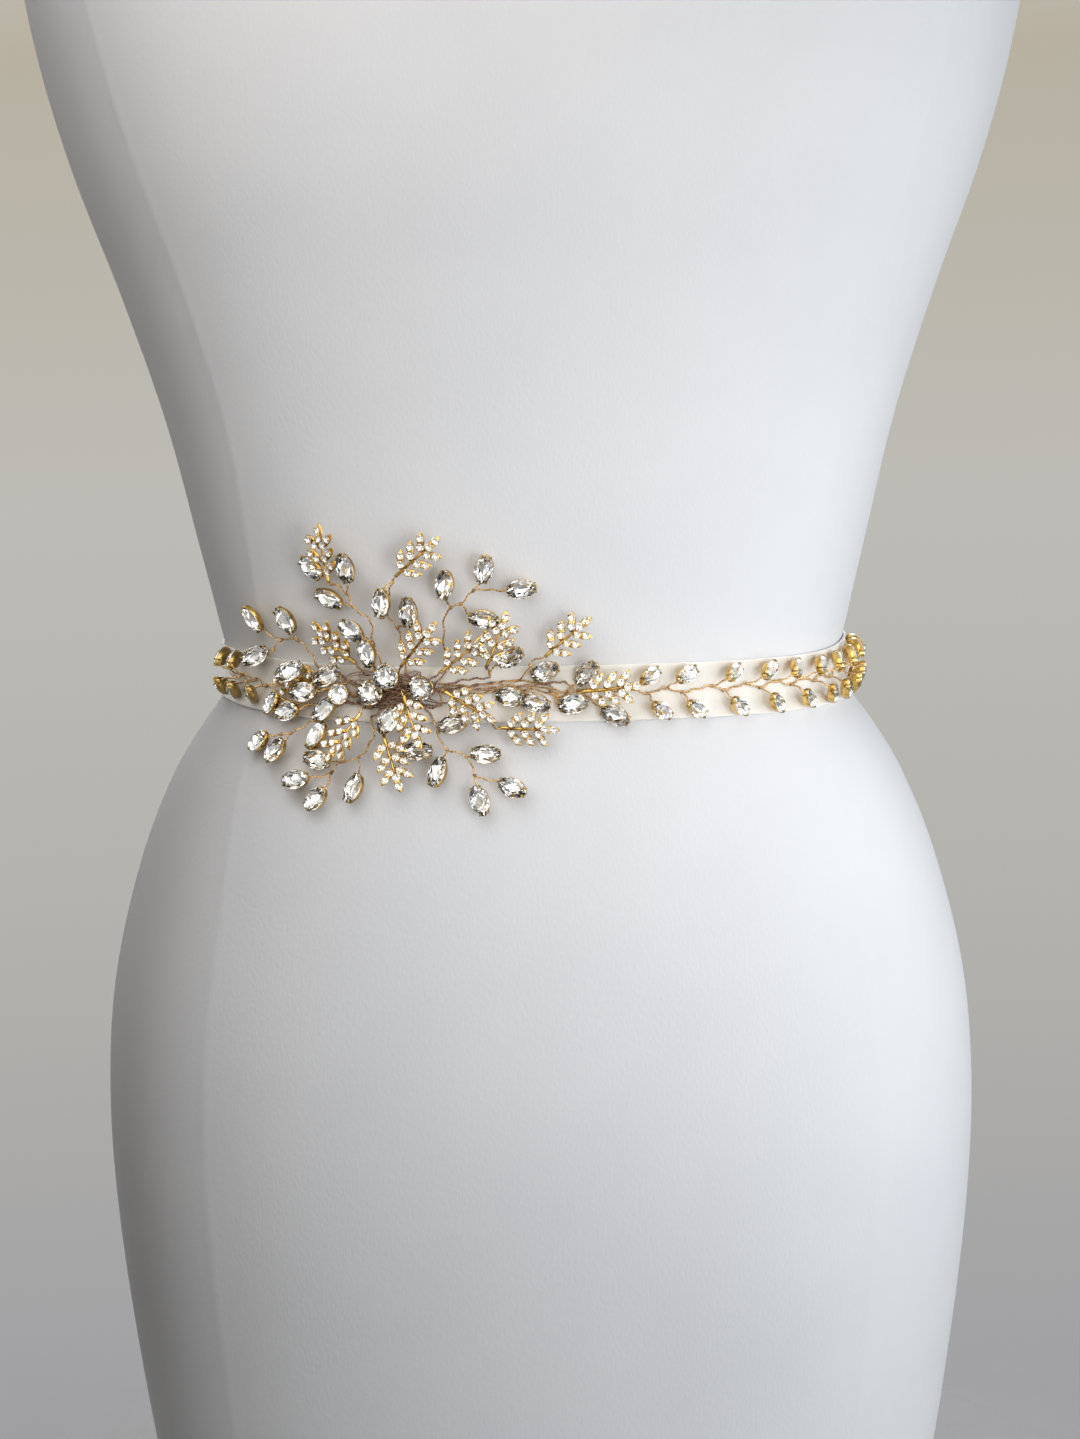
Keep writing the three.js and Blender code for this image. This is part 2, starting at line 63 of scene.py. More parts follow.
# Wire, stones and leaves
STRAND_RADIUS = 0.22
STRAND_SIDES = 6
STRAND_OFFSET = 0.23
TWIST_PITCH = 2.8
WIRE_STEP = 0.42
WAVE_HEIGHT = 0.3
WAVE_LENGTH = 8
WAVE_FADE = 3
WAVE_STRAY = 1.4
WRAP_TURNS = 3
WRAP_TURN_POINTS = 10
WRAP_SIDES = 5
WRAP_OFFSET = 0.56
WRAP_RADIUS = 0.187
CUP_DEPTH = 2.9
STONE_LEAN = 9
STONE_FACING = SimpleNamespace(right=-14, up=-5)
CLUSTER_STONE = SimpleNamespace(length=12.4, width=7.7, pointed=0.34, crown=1.5, depth=1.9, sides=16)
VINE_STONE = SimpleNamespace(length=11.5, width=6.4, pointed=0.38, crown=1.5, depth=1.9, sides=16)
ROUND_CUT = SimpleNamespace(crown=1.875, depth=1.95, sides=16)
POST_RADIUS = 0.8
POST_SIDES = 10
POST_INTO_CUP = 0.5
LEAF_LENGTH = 23.5
LEAF_ARMS = (0.16, 0.38, 0.6)
ARM_LENGTH = 7.6
ARM_ANGLE = 48
ARM_WIDTH = 3.3
ARM_SIDE = 0.5
ARM_STONES = (0.27, 0.72)
SMALL_STONE = SimpleNamespace(length=3, width=3, pointed=0, crown=0.6, depth=0.9, sides=12)
SMALL_STONE_LIFT = 1.6
GRAIN_RADIUS = 0.27
GRAIN_HEIGHT = 0.16
GRAIN_ANGLES = (45, 135, 225, 315)
VEIN = SimpleNamespace(points=12, sides=8, start_radius=0.7, end_radius=0.4, short_of_tip=5, sunk=0.2)
LEAF_BEND = -0.006
LEAF_FOLD = 0.1
LEAF_STEM = SimpleNamespace(knee_share=0.6, knee_past=-2, near_past=-1, end_past=2)

# The finishes of metal bodies and of a stone's faces. The claws and the wires at the heart take darker copies
# of the gold and copper, which paint shade on them.
WIRE, CAST, CLAW, HEART = range(4)
CLEAR, FOILED = range(2)

# The vines along the ribbon, as in the solids
VINE_LEAD = 4
VINE_END = 8.4
VINE_STEM_UP = 0.4
VINE_OUT = 7.1
VINE_LEAN_SHARE = 0.5

# Where the sprays' wires are bound together, how far they sway on the way there, and the loose turns of wire
# that bind them: the middle size and place of a turn, and how much the turns differ
HEART_ALONG = -55
HEART_TURNS = 2
TAIL_SWAY = 2.6
TAIL_LAYERS = 4
TAIL_LAYER_STEP = 0.25
BINDING = SimpleNamespace(wide=9, high=4.5, up=2, out=1.6, points=25)
BINDING_CHANGE = SimpleNamespace(wide=3, high=1.5, along=8, up=2, out=1.2)

# More wires run beside the stem to the right, above and below it
STEM_BUNDLE = (-1.6, 1.7)
STEM_BUNDLE_POINTS = 5


def table(columns, rows):
    """A table's rows as objects, with the names of its columns."""
    names = columns.split()
    return [SimpleNamespace(**dict(zip_longest(names, row))) for row in rows]


# The ribbon rides a little higher at the wearer's sides
RIBBON_RISES = table("place reach height", [
    (-150, 55, 4),
    (175, 35, 3),
])

# Twigs leave a vine's stem above and below it by turns, each fork at its own place along the ribbon
VINE_TWIGS = table("joint_up reach up turn", [
    (1.2, 8, 7.1, 26),
    (-0.8, 3.7, -8.4, -32),
])
VINES = table("name side first pitch stone_lift forks", [
    ("vine_right", 1, 0, 36, 0, (36.5, 43.9, 50.6, 57.1, 69.2, 73.8, 83.9, 89.4, 96.4, 104.3,
                                 109.8, 118.5, 122.8, 130.9, 138.6, 145.1, 155.7, 162.2, 170.6, 177.1)),
    ("vine_left", -1, 1, 48, 2.4, (111.1, 117.5, 124, 128.5, 135)),
])

FORM_SECTIONS = table("rise half_width front back", [
    (-380, 158, 104, 116),
    (-300, 171, 112, 124),
    (-230, 179.5, 118, 131),
    (-175, 182, 120, 134),
    (-125, 178, 118, 131),
    (-75, 165.5, 113, 121),
    (-40, 151, 106, 109),
    (-20, 138.5, 100, 101),
    (-8, 130, 96.5, 97),
    (4, 127, 95, 95.5),
    (25, 131, 96, 97),
    (55, 138, 99, 101),
    (105, 150, 106, 108),
    (155, 166, 118, 115),
    (205, 184, 131, 119),
    (250, 196.5, 133, 121),
    (290, 203, 124, 119),
    (322, 201, 110, 113),
    (346, 190, 97, 105),
    (366, 167, 86, 96),
    (381, 136, 76, 87),
    (393, 102, 67, 78),
    (404, 76, 60, 70),
    (420, 61, 55, 63),
    (445, 56.5, 52, 59),
    (466, 55, 51, 57),
    (472, 51, 47, 53),
])

# A wire's way from its root to the heart: the share of the way, and the shares of the root's height and of
# the sway there
TAIL_PLACES = table("share height sway", [
    (0, 1, 0),
    (0.3, 0.62, 1),
    (0.65, 0.35, -0.7),
    (1, 0.2, 0.4),
])

# Each spray's wire, from its root on the ribbon to its last fork
SPRAYS = {
    "upper_left": [(-57, 8, STEM_OUT), (-60, 22, 5), (-59.5, 29.5, 5.5), (-65, 35, 6), (-66.5, 40, 6.5),
                   (-69.5, 44, 7)],
    "upper_middle": [(-49, 9, STEM_OUT), (-50, 26, 4), (-53, 32, 5), (-51.5, 41, 6)],
    "upper_right": [(-34, 9, STEM_OUT), (-33, 27, 5), (-31, 34, 6), (-26, 37, 6.5), (-21, 42, 7)],
    "right_inner": [(-17, 7, STEM_OUT), (-16.8, 9.5, 6)],
    "right": [(-9, 5.5, STEM_OUT), (-5, 6.6, 3.5), (-2.3, 10, 4), (-0.6, 13.5, 5)],
    "inner": [(-60, 8, STEM_OUT), (-59.5, 12, 9), (-59, 23, 12)],
    "left_upper": [(-84, 8, STEM_OUT), (-85, 16, 5), (-89, 22, 6), (-97, 22, 6), (-101, 18, 6)],
    "left": [(-71, 6, STEM_OUT), (-77, 3, 7), (-83, 1, 8)],
    "left_low": [(-76, -4, STEM_OUT), (-84, -5, 4.5), (-92, -4.6, 5), (-98, -3.8, 5.5)],
    "lower_outer": [(-80, -9, STEM_OUT), (-84.5, -13, 5), (-88, -17, 6), (-92, -18, 6.5)],
    "lower_left": [(-62, -9, STEM_OUT), (-58, -17, 5), (-60.5, -25, 6), (-66, -27, 6.5), (-68, -31, 7)],
    "lower_middle": [(-50, -4, STEM_OUT), (-49, -9, 5), (-47.5, -20, 6)],
    "lower_right": [(-39, -8, STEM_OUT), (-35, -15, 5), (-31.5, -21, 6), (-23.5, -24.5, 6.5),
                    (-20, -31.5, 7)],
    "stem_right": [(-37, 2.9, STEM_OUT), (-24.6, 1.9, STEM_OUT), (-10, 3.6, STEM_OUT), (3, 2.8, STEM_OUT),
                   (10, -0.9, STEM_OUT), (17, 1.3, STEM_OUT),
                   (VINES[0].forks[0] - VINE_LEAD - SEAM_GAP, VINE_STEM_UP, STEM_OUT)],
}

# The marquise stones: where the twig leaves the spray's wire, the stone's middle and the way its tip points.
# Some are bent to the front by a pitch of their own.
STONES = table("spray share along up out turn pitch", [
    ("upper_left", 0.88, -79, 51, 7, 149),
    ("upper_left", 0.8, -66, 51, 8, 100),
    ("upper_left", 0.68, -74.5, 38.5, 6, 157),
    ("upper_middle", 0.95, -54.5, 37.5, 9.5, 255),
    ("upper_middle", 0.45, -45.4, 33.6, 7.5, 90),
    ("upper_right", 0.7, -31.5, 44, 7, 75),
    ("upper_right", 1, -17, 50, 7, 75),
    ("upper_right", 1, -4, 42, 6, 8),
    ("upper_right", 0.8, -18, 30.4, 7, 352),
    ("right_inner", 0.4, -9, 15.5, 7.5, 30),
    ("right", 0.6, 4, 9.5, 6.5, 20),
    ("inner", 1, -65.5, 27.5, 13, 150),
    ("inner", 0.4, -61.5, 18.7, 12, 100),
    ("left_upper", 0.8, -108, 30, 7, 125),
    ("left_upper", 0.55, -93, 30, 7, 123),
    ("left_upper", 1, -109.5, 15.6, 8, 202, -28),
    ("left", 0.5, -93.2, 10.4, 10, 203, -22),
    ("left", 0.3, -79.2, 8.3, 8.2, 205, -8),
    ("left", 1, -88.6, 0.4, 8.6, 185, -4),
    ("left_low", 1, -104, -5.4, 6, 215),
    ("left_low", 0.5, -94.7, -9, 7, 190),
    ("left_low", 0.05, -79, -7, 9, 230),
    ("lower_outer", 1, -100.4, -21, 7, 200),
    ("lower_outer", 0.8, -92, -24, 7, 225),
    ("lower_outer", 0.2, -79, -17.5, 6.5, 265),
    ("lower_left", 1, -80, -34, 7, 188),
    ("lower_left", 1, -71.4, -40.5, 7, 220),
    ("lower_left", 0.6, -59.7, -36.3, 7, 250),
    ("lower_left", 0.8, -75, -26.5, 6.5, 170),
    ("lower_middle", 0.1, -52.8, -11.6, 11.3, 250, 6),
    ("lower_middle", 1, -41, -22, 5.2, 0, -6),
    ("lower_right", 0.25, -30, -12, 6.5, 8),
    ("lower_right", 0.5, -33, -30, 6, 262),
    ("lower_right", 0.75, -17, -23.5, 7, 355),
    ("lower_right", 1, -18, -40.5, 7, 290),
    ("lower_right", 1, -7.7, -36, 7, 340),
    ("stem_right", 0.35, -9.3, -1, 6.2, 350),
    ("stem_right", 0.5, 0.2, -3.7, 7, 345),
    ("stem_right", 0.62, 14.5, -4.5, 6.2, 10),
    ("stem_right", 0.65, 19.8, 8.4, 6, 45),
    ("stem_right", 0.78, 29.7, -9.7, 6.2, 335),
])

# The cast leaves: middle, the way the tip points, and the stem's root where the leaf has a stem of its own
LEAVES = table("name along up out turn roll pitch root_along root_up", [
    ("upper_left", -71.6, 57.6, 11.5, 90, -18, 0),
    ("upper_middle", -39.8, 55.4, 8, 39, -6, 0),
    ("right_inner", -13.2, 23.4, 12.2, 68, 16, 0),
    ("right", 12.4, 23.4, 8, 40, -22, 0),
    ("centre_up", -42, 21.6, 11.5, 48, 0, -6, -52, 4),
    ("centre_right", -26, 17.3, 8.2, 37, 12, 4, -38.5, 7.5),
    ("centre_left", -74.4, 21.6, 8, 132, -16, 0, -66, 8),
    ("centre_low_left", -67, -18.6, 10.5, 250, 10, 4, -65, -5),
    ("low", -48.2, -27.2, 8.2, 298, -10, 2, -57, -9),
    ("centre_low", -43.5, -12.7, 15.2, 300, 8, -6, -46, -1),
    ("centre_low_right", -24, -5.2, 10.8, 330, 10, 0, -35.5, -4),
    ("low_right", -2.3, -14.5, 7, 357, 16, 0, -17, -8),
    ("vine", 29, 2, 9.2, 5, 0, 0, 12, 5),
    ("far_left", -94.2, 5.4, 4.1, 182, 6, 0, -80, 4),
])

# The round and oval stones on posts at the heart of the sprays
ROUND_STONES = table("name along up out length width", [
    ("heart", -54.5, 9.2, 15, 10, 10),
    ("heart_left", -61.7, 1, 11, 10.4, 9.6),
    ("heart_far_left", -72.7, 0.1, 13, 8, 8),
    ("heart_right", -42.8, 3.6, 10.4, 10.4, 9.4),
])


# Curves and the form's surface

def smooth(keys, values, at):
    """Values at places between the keys, on a smooth curve through all of them."""
    keys, values, at = (np.asarray(x, float) for x in (keys, values, at))
    last = len(keys) - 1
    low = np.clip(np.searchsorted(keys, at) - 1, 0, last - 1)
    high = low + 1
    before = np.maximum(low - 1, 0)
    after = np.minimum(high + 1, last)
    span = (keys[high] - keys[low])[..., None]
    t = (at - keys[low])[..., None] / span
    low_slope = (values[high] - values[before]) / (keys[high] - keys[before])[..., None]
    high_slope = (values[after] - values[low]) / (keys[after] - keys[low])[..., None]
    start = (2 * t**3 - 3 * t**2 + 1) * values[low] + (t**3 - 2 * t**2 + t) * span * low_slope
    return start + (3 * t**2 - 2 * t**3) * values[high] + (t**3 - t**2) * span * high_slope


SECTION_RISES = [row.rise for row in FORM_SECTIONS]
SECTION_SHAPES = [(row.half_width, row.front, row.back) for row in FORM_SECTIONS]


def form_point(turn, rise):
    """Points of the form's surface: turn is 0 at the centre front and a quarter turn at +X."""
    turn, rise = np.broadcast_arrays(np.asarray(turn, float), np.asarray(rise, float))
    half_width, front, back = np.moveaxis(smooth(SECTION_RISES, SECTION_SHAPES, rise), -1, 0)
    depth = np.where(np.cos(turn) > 0, front, back)
    x = half_width * (np.sin(turn) + SQUARENESS * np.sin(3 * turn)) / (1 - SQUARENESS)
    y = -depth * (np.cos(turn) - SQUARENESS * np.cos(3 * turn)) / (1 - SQUARENESS)
    return np.stack([x, y, WAIST_HEIGHT + rise], axis=-1)


WAIST_TURNS = np.linspace(-2 * math.pi, 2 * math.pi, 2881)
WAIST_CHORDS = np.linalg.norm(np.diff(form_point(WAIST_TURNS, 0), axis=0), axis=1)
WAIST_LENGTHS = np.concatenate([[0], np.cumsum(WAIST_CHORDS)])
WAIST_LENGTHS -= WAIST_LENGTHS[len(WAIST_LENGTHS) // 2]
HALF_GIRTH = WAIST_LENGTHS[-1] / 2


def unit(vectors):
    return vectors / np.linalg.norm(vectors, axis=-1, keepdims=True)


def surface_at(along, up):
    """The form's surface at places on the sash, with the directions right, up and out there."""
    turn = np.interp(along, WAIST_LENGTHS, WAIST_TURNS)
    small = 0.001
    rise = 0.1
    right = unit(form_point(turn + small, up) - form_point(turn - small, up))
    lift = unit(form_point(turn, np.asarray(up) + rise) - form_point(turn, np.asarray(up) - rise))
    return form_point(turn, up), right, lift, unit(np.cross(right, lift))


def on_form(along, up, out):
    foot, _, _, normal = surface_at(along, up)
    return foot + normal * np.asarray(out, float)[..., None]


def cosine_and_sine(degrees):
    return math.cos(math.radians(degrees)), math.sin(math.radians(degrees))


def turn_matrix(axis, degrees):
    """A rotation about the X axis (0) or the Y axis (1)."""
    cosine, sine = cosine_and_sine(degrees)
    if axis == 0:
        return np.array([[1, 0, 0], [0, cosine, -sine], [0, sine, cosine]])
    return np.array([[cosine, 0, sine], [0, 1, 0], [-sine, 0, cosine]])


def piece_frame(along, up, out, turn, lean=(0, 0)):
    """The axes and place of a piece on the sash: X along its length, Z out of the form, leaning a little."""
    _, right, lift, normal = surface_at(along, up)
    cosine, sine = cosine_and_sine(turn)
    ahead = right * cosine + lift * sine
    ahead = unit(ahead - normal * (ahead @ normal))
    axes = np.stack([ahead, np.cross(normal, ahead), normal], axis=1)
    return axes @ turn_matrix(0, lean[0]) @ turn_matrix(1, lean[1]), on_form(along, up, out)


def placed(points, frame_at):
    axes, origin = frame_at
    return np.asarray(points, float) @ axes.T + origin


def ribbon_rise(along):
    """How much higher the ribbon rides there."""
    return sum(row.height * np.exp(-((along - row.place) / row.reach) ** 2) for row in RIBBON_RISES)


def lean_of(index):
    """The small lean of a stone to the side and to its tip, by its number."""
    return STONE_LEAN * math.sin(2.4 * index), STONE_LEAN * math.sin(1.7 * index + 1)


def facing_lean(index, turn):
    """A cluster stone's lean, turned so that the stones face a little to the left and down on the whole."""
    roll, pitch = lean_of(index)
    cosine, sine = cosine_and_sine(turn)
    right, up = STONE_FACING.right, STONE_FACING.up
    return roll + right * sine - up * cosine, pitch + right * cosine + up * sine


PATH_DETAIL = 24
TWIG_POINTS = 9
TWIG_PULL = 0.28
FORK_SHARE = 0.6


def path_through(points, step):
    """Points a step apart on a smooth curve through the given ones."""
    points = np.asarray(points, float)
    chords = np.linalg.norm(np.diff(points, axis=0), axis=1)
    keys = np.concatenate([[0], np.cumsum(np.sqrt(chords))])
    fine = smooth(keys, points, np.linspace(0, keys[-1], PATH_DETAIL * len(points)))
    lengths = np.concatenate([[0], np.cumsum(np.linalg.norm(np.diff(fine, axis=0), axis=1))])
    count = max(2, int(round(lengths[-1] / step)) + 1)
    at = np.linspace(0, lengths[-1], count)
    return np.stack([np.interp(at, lengths, fine[:, i]) for i in range(3)], axis=1)


def share_of(path, share):
    """The point and the direction at a share of a path's length."""
    place = share * (len(path) - 1)
    low = min(int(place), len(path) - 2)
    direction = path[low + 1] - path[low]
    return path[low] + direction * (place - low), unit(direction)


def bent_twig(start, start_way, end, end_way):
    """A nearly straight path that leaves along one direction and arrives along another."""
    reach = TWIG_PULL * np.linalg.norm(end - start)
    start_way = unit(FORK_SHARE * start_way + unit(end - start))
    t = np.linspace(0, 1, TWIG_POINTS)[:, None]
    first, second = start + start_way * reach, end - end_way * reach
    return (1 - t)**3 * start + 3 * (1 - t)**2 * t * first + 3 * (1 - t) * t**2 * second + t**3 * end


# Meshes

def side_frames(path):
    """Two directions across a path at each point, carried along it without twist."""
    ways = unit(np.gradient(path, axis=0))
    seed = np.eye(3)[np.argmin(np.abs(ways[0]))]
    across = unit(seed - ways[0] * (seed @ ways[0]))
    found = []
    for way in ways:
        across = unit(across - way * (across @ way))
        found.append(across)
    across = np.array(found)
    return across, np.cross(ways, across)


def loft(rings):
    """Points and faces of a closed body through rings of equal point counts."""
    rings = np.asarray(rings, float)
    levels, count = rings.shape[:2]
    faces = [tuple(range(count - 1, -1, -1))]
    for low in range(0, (levels - 1) * count, count):
        high = low + count
        for j in range(count):
            after = (j + 1) % count
            faces.append((low + j, low + after, high + after, high + j))
    faces.append(tuple(range((levels - 1) * count, levels * count)))
    return rings.reshape(-1, 3), faces


def tube(path, radius, sides):
    """A round rod along a path. The radius may change along it."""
    path = np.asarray(path, float)
    across, over = side_frames(path)
    angles = np.linspace(0, 2 * math.pi, sides, endpoint=False)
    radii = np.broadcast_to(np.asarray(radius, float), len(path))[:, None, None]
    circle = across[:, None] * np.cos(angles)[:, None] + over[:, None] * np.sin(angles)[:, None]
    return loft(path[:, None] + radii * circle)


def twisted_wire(path, gather, finish=WIRE):
    """Two strands of wire twisted round each other along a path, which hand bending leaves a little wavy."""
    path = path_through(path, WIRE_STEP)
    across, over = side_frames(path)
    lengths = WIRE_STEP * np.arange(len(path))
    fade = np.clip(np.minimum(lengths, lengths[-1] - lengths) / WAVE_FADE, 0, 1)[:, None]
    wave = (2 * math.pi * lengths / WAVE_LENGTH + path[0].sum())[:, None]
    path = path + WAVE_HEIGHT * fade * (across * np.sin(wave) + over * np.cos(WAVE_STRAY * wave))
    for strand in (0, math.pi):
        angle = (2 * math.pi * lengths / TWIST_PITCH + strand)[:, None]
        offset = STRAND_OFFSET * (across * np.cos(angle) + over * np.sin(angle))
        gather.add(*tube(path + offset, STRAND_RADIUS, STRAND_SIDES), finish)


def wrap(point, way, gather):
    """A few close turns of wire round a fork."""
    along = np.linspace(-0.5, 0.5, WRAP_TURN_POINTS * WRAP_TURNS + 1)
    axis_path = point + np.outer(along, way) * WRAP_TURNS * 2 * STRAND_RADIUS
    across, over = side_frames(axis_path)
    angle = (2 * math.pi * WRAP_TURNS * along)[:, None]
    coil = axis_path + WRAP_OFFSET * (across * np.cos(angle) + over * np.sin(angle))
    gather.add(*tube(coil, WRAP_RADIUS, WRAP_SIDES), WIRE)


class Gather:
    """Bodies gathered into one mesh, each with its finish and flat or smooth faces."""

    def __init__(self):
        self.points = []
        self.faces = []
        self.finishes = []
        self.smooth = []
        self.count = 0

    def add(self, points, faces, finish=0, rounded=True, frame_at=None):
        points = np.asarray(points, float) if frame_at is None else placed(points, frame_at)
        self.points.append(points)
        self.faces += [tuple(i + self.count for i in face) for face in faces]
        finishes = finish if isinstance(finish, list) else [finish] * len(faces)
        self.finishes += finishes
        self.smooth += [rounded] * len(faces)
        self.count += len(points)

    def make(self, name, slot, nodes, materials):
        mesh = bpy.data.meshes.new(name)
        mesh.from_pydata(np.concatenate(self.points) * MM, [], self.faces)
        for material in materials:
            mesh.materials.append(material)
        mesh.polygons.foreach_set("material_index", self.finishes)
        mesh.polygons.foreach_set("use_smooth", self.smooth)
        mesh.update()
        piece = bpy.data.objects.new(name, mesh)
        bpy.context.scene.collection.objects.link(piece)
        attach(piece, ROOT)
        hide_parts(*nodes)
        return piece


# Stones, claw cups and leaves, each in its own frame with Z out of the form

# The rings between a cut stone's facets: the outline's scale, the share of the crown's height or of the
# back's depth, and the ring's turn in facets
CROWN_RINGS = table("scale share phase", [
    (0.54, 1, 0.5),
    (0.8, 0.62, 0),
])
BACK_RINGS = table("scale share phase", [
    (0.8, 0.42, 0.5),
    (0.48, 0.78, 0),
])
GIRDLE_HEIGHTS = (0.1, -0.12)

# A stone this much longer than wide has a keel along its back, as a share of its length
LONG_STONE = 1.3
KEEL_SHARE = 0.22

# Facets that differ by fewer degrees are one
FLAT_FACETS = 0.5

# A cup's bowl from the foot over the rim to the inside, and a claw from its foot to the tip over the stone
CUP_SIDES = 24
CLAW_SIDES = 6
CUP_PROFILE = table("scale height", [
    (0.5, -CUP_DEPTH),
    (0.74, -0.97 * CUP_DEPTH),
    (0.92, -0.8 * CUP_DEPTH),
    (0.99, -0.45 * CUP_DEPTH),
    (1.01, -0.3),
    (1, -0.15),
    (0.97, -0.15),
    (0.93, -0.45),
    (0.6, -0.72 * CUP_DEPTH),
    (0.3, -0.86 * CUP_DEPTH),
])
CLAW_PATH = table("foot_share past_foot height radius", [
    (0.9, 0, -0.7 * CUP_DEPTH, 0.42),
    (1, 0.2, -0.25 * CUP_DEPTH, 0.4),
    (1, 0.2, 0.3, 0.36),
    (1, -0.1, 0.62, 0.34),
    (1, -0.5, 0.78, 0.3),
    (1, -0.7, 0.78, 0.16),
])


def edge_across(stone, angle):
    """How far across a stone its edge lies at an angle: round when pointed is 0, a marquise above that."""
    return np.sin(angle) * np.abs(np.sin(angle)) ** stone.pointed


def outline(stone, scale, height, sides, phase=0.0):
    """A ring of points on a stone's outline at a scale."""
    angle = 2 * math.pi * (np.arange(sides) + phase) / sides
    x = scale * stone.length / 2 * np.cos(angle)
    y = scale * stone.width / 2 * edge_across(stone, angle)
    return np.stack([x, y, np.full(sides, height)], axis=1)


def cut_stone(stone):
    """The facets of a cut stone, clear on the crown and foiled on the back."""
    keel = KEEL_SHARE * stone.length if stone.length > LONG_STONE * stone.width else 0.0
    facets = stone.sides // 2
    rings = [outline(stone, row.scale, row.share * stone.crown, facets, row.phase) for row in CROWN_RINGS]
    rings += [outline(stone, 1, height, stone.sides) for height in GIRDLE_HEIGHTS]
    rings += [outline(stone, row.scale, -row.share * stone.depth, facets, row.phase) for row in BACK_RINGS]
    rings.append(np.array([[-keel, 0, -stone.depth], [keel, 0, -stone.depth]]))
    shape = bmesh.new()
    for point in np.concatenate(rings):
        shape.verts.new(point)
    bmesh.ops.convex_hull(shape, input=shape.verts)
    bmesh.ops.delete(shape, geom=[v for v in shape.verts if not v.link_faces], context="VERTS")
    flat = math.radians(FLAT_FACETS)
    bmesh.ops.dissolve_limit(shape, angle_limit=flat, verts=shape.verts, edges=shape.edges)
    shape.verts.index_update()
    points = np.array([v.co for v in shape.verts])
    faces = [tuple(v.index for v in face.verts) for face in shape.faces]
    finishes = [CLEAR if face.calc_center_median().z > 0 else FOILED for face in shape.faces]
    shape.free()
    return points, faces, finishes


def claw_cup(stone, claws):
    """Bodies of a cup: a bowl with its rim under the stone's edge, and claws that close over the stone."""
    bodies = [loft([outline(stone, row.scale, row.height, CUP_SIDES) for row in CUP_PROFILE])]
    for degrees in claws:
        angle = math.radians(degrees)
        across = edge_across(stone, angle)
        foot = np.array([stone.length / 2 * math.cos(angle), stone.width / 2 * across, 0])
        way = unit(np.array([foot[0] / stone.length**2, foot[1] / stone.width**2, 0]))
        path = [row.foot_share * foot + row.past_foot * way + [0, 0, row.height] for row in CLAW_PATH]
        bodies.append(tube(path, [row.radius for row in CLAW_PATH], CLAW_SIDES))
    return bodies


MARQUISE_CLAWS = (32, 148, 212, 328)
ROUND_CLAWS = (30, 90, 150, 210, 270, 330)
CLUSTER_CUT = cut_stone(CLUSTER_STONE)
VINE_CUT = cut_stone(VINE_STONE)
SMALL_CUT = cut_stone(SMALL_STONE)
CLUSTER_CUP = claw_cup(CLUSTER_STONE, MARQUISE_CLAWS)
VINE_CUP = claw_cup(VINE_STONE, MARQUISE_CLAWS)
TWIG_ENTRY = 0.36


def set_stone(cut, cup, frame_at, gold, crystal):
    """One stone in its cup."""
    points, faces, finishes = cut
    crystal.add(points, faces, finishes, False, frame_at)
    bowl, *claws = cup
    gold.add(*bowl, CAST, True, frame_at)
    # Claws take the darker gold, which paints shade on them.
    for claw in claws:
        gold.add(*claw, CLAW, True, frame_at)


def stone_root(stone, frame_at):
    """Where a twig enters the cup, and the direction it comes in."""
    return placed([-TWIG_ENTRY * stone.length, 0, -CUP_DEPTH / 2], frame_at), frame_at[0][:, 0]


# A leaf's arm: sections along it, as shares of its length and width, and how far its top and its underside
# stand out
BLADE_SECTIONS = table("share wide high", [
    (0, 0.4, 0.5),
    (0.2, 0.62, 0.6),
    (0.5, 0.9, 0.66),
    (0.72, 0.86, 0.6),
    (0.9, 0.42, 0.42),
    (1, 0.05, 0.1),
])
BLADE_SIDES = 10
BLADE_STRETCH = 1.05
BLADE_TOP = 0.75
BLADE_UNDERSIDE = 0.55


def blade():
    """A cast lobe along X: widest past the middle, domed on top, pointed at the end."""
    angles = np.linspace(0, 2 * math.pi, BLADE_SIDES, endpoint=False)
    domes = np.where(np.sin(angles) > 0, BLADE_TOP, BLADE_UNDERSIDE)
    rings = []
    for row in BLADE_SECTIONS:
        x = np.full(BLADE_SIDES, row.share * BLADE_STRETCH * ARM_LENGTH)
        y = ARM_WIDTH / 2 * row.wide * np.cos(angles)
        rings.append(np.stack([x, y, domes * row.high * np.sin(angles)], axis=1))
    return loft(rings)


def turned(points, degrees, origin):
    """Points turned about Z and moved to an origin in the leaf's plane."""
    cosine, sine = cosine_and_sine(degrees)
    x, y, z = np.asarray(points, float).T
    across = x * cosine - y * sine + origin[0]
    over = x * sine + y * cosine + origin[1]
    return np.stack([across, over, z], axis=1)


def ball(radius):
    """A small round grain of metal."""
    angles = np.linspace(0, 2 * math.pi, 6, endpoint=False)
    rings = []
    for height in np.linspace(-0.95, 0.95, 5):
        reach = radius * math.sqrt(1 - height * height)
        rings.append([(reach * math.cos(a), reach * math.sin(a), radius * height) for a in angles])
    return loft(rings)


SMALL_CUP_PROFILE = table("scale height", [
    (0.5, -1.4),
    (0.7, -1.3),
    (0.92, -0.5),
    (1.03, -0.02),
    (1.03, 0.05),
    (0.99, 0.05),
    (0.9, -0.25),
    (0.4, -0.95),
])


def small_cup():
    """The cup of a leaf's small stone, with four grains of metal over its edge."""
    rings = [outline(SMALL_STONE, row.scale, row.height, SMALL_STONE.sides) for row in SMALL_CUP_PROFILE]
    bodies = [loft(rings)]
    reach = SMALL_STONE.length / 2
    for degrees in GRAIN_ANGLES:
        cosine, sine = cosine_and_sine(degrees)
        points, faces = ball(GRAIN_RADIUS)
        bodies.append((points + [reach * cosine, reach * sine, GRAIN_HEIGHT], faces))
    return bodies


BLADE = blade()
SMALL_CUP = small_cup()


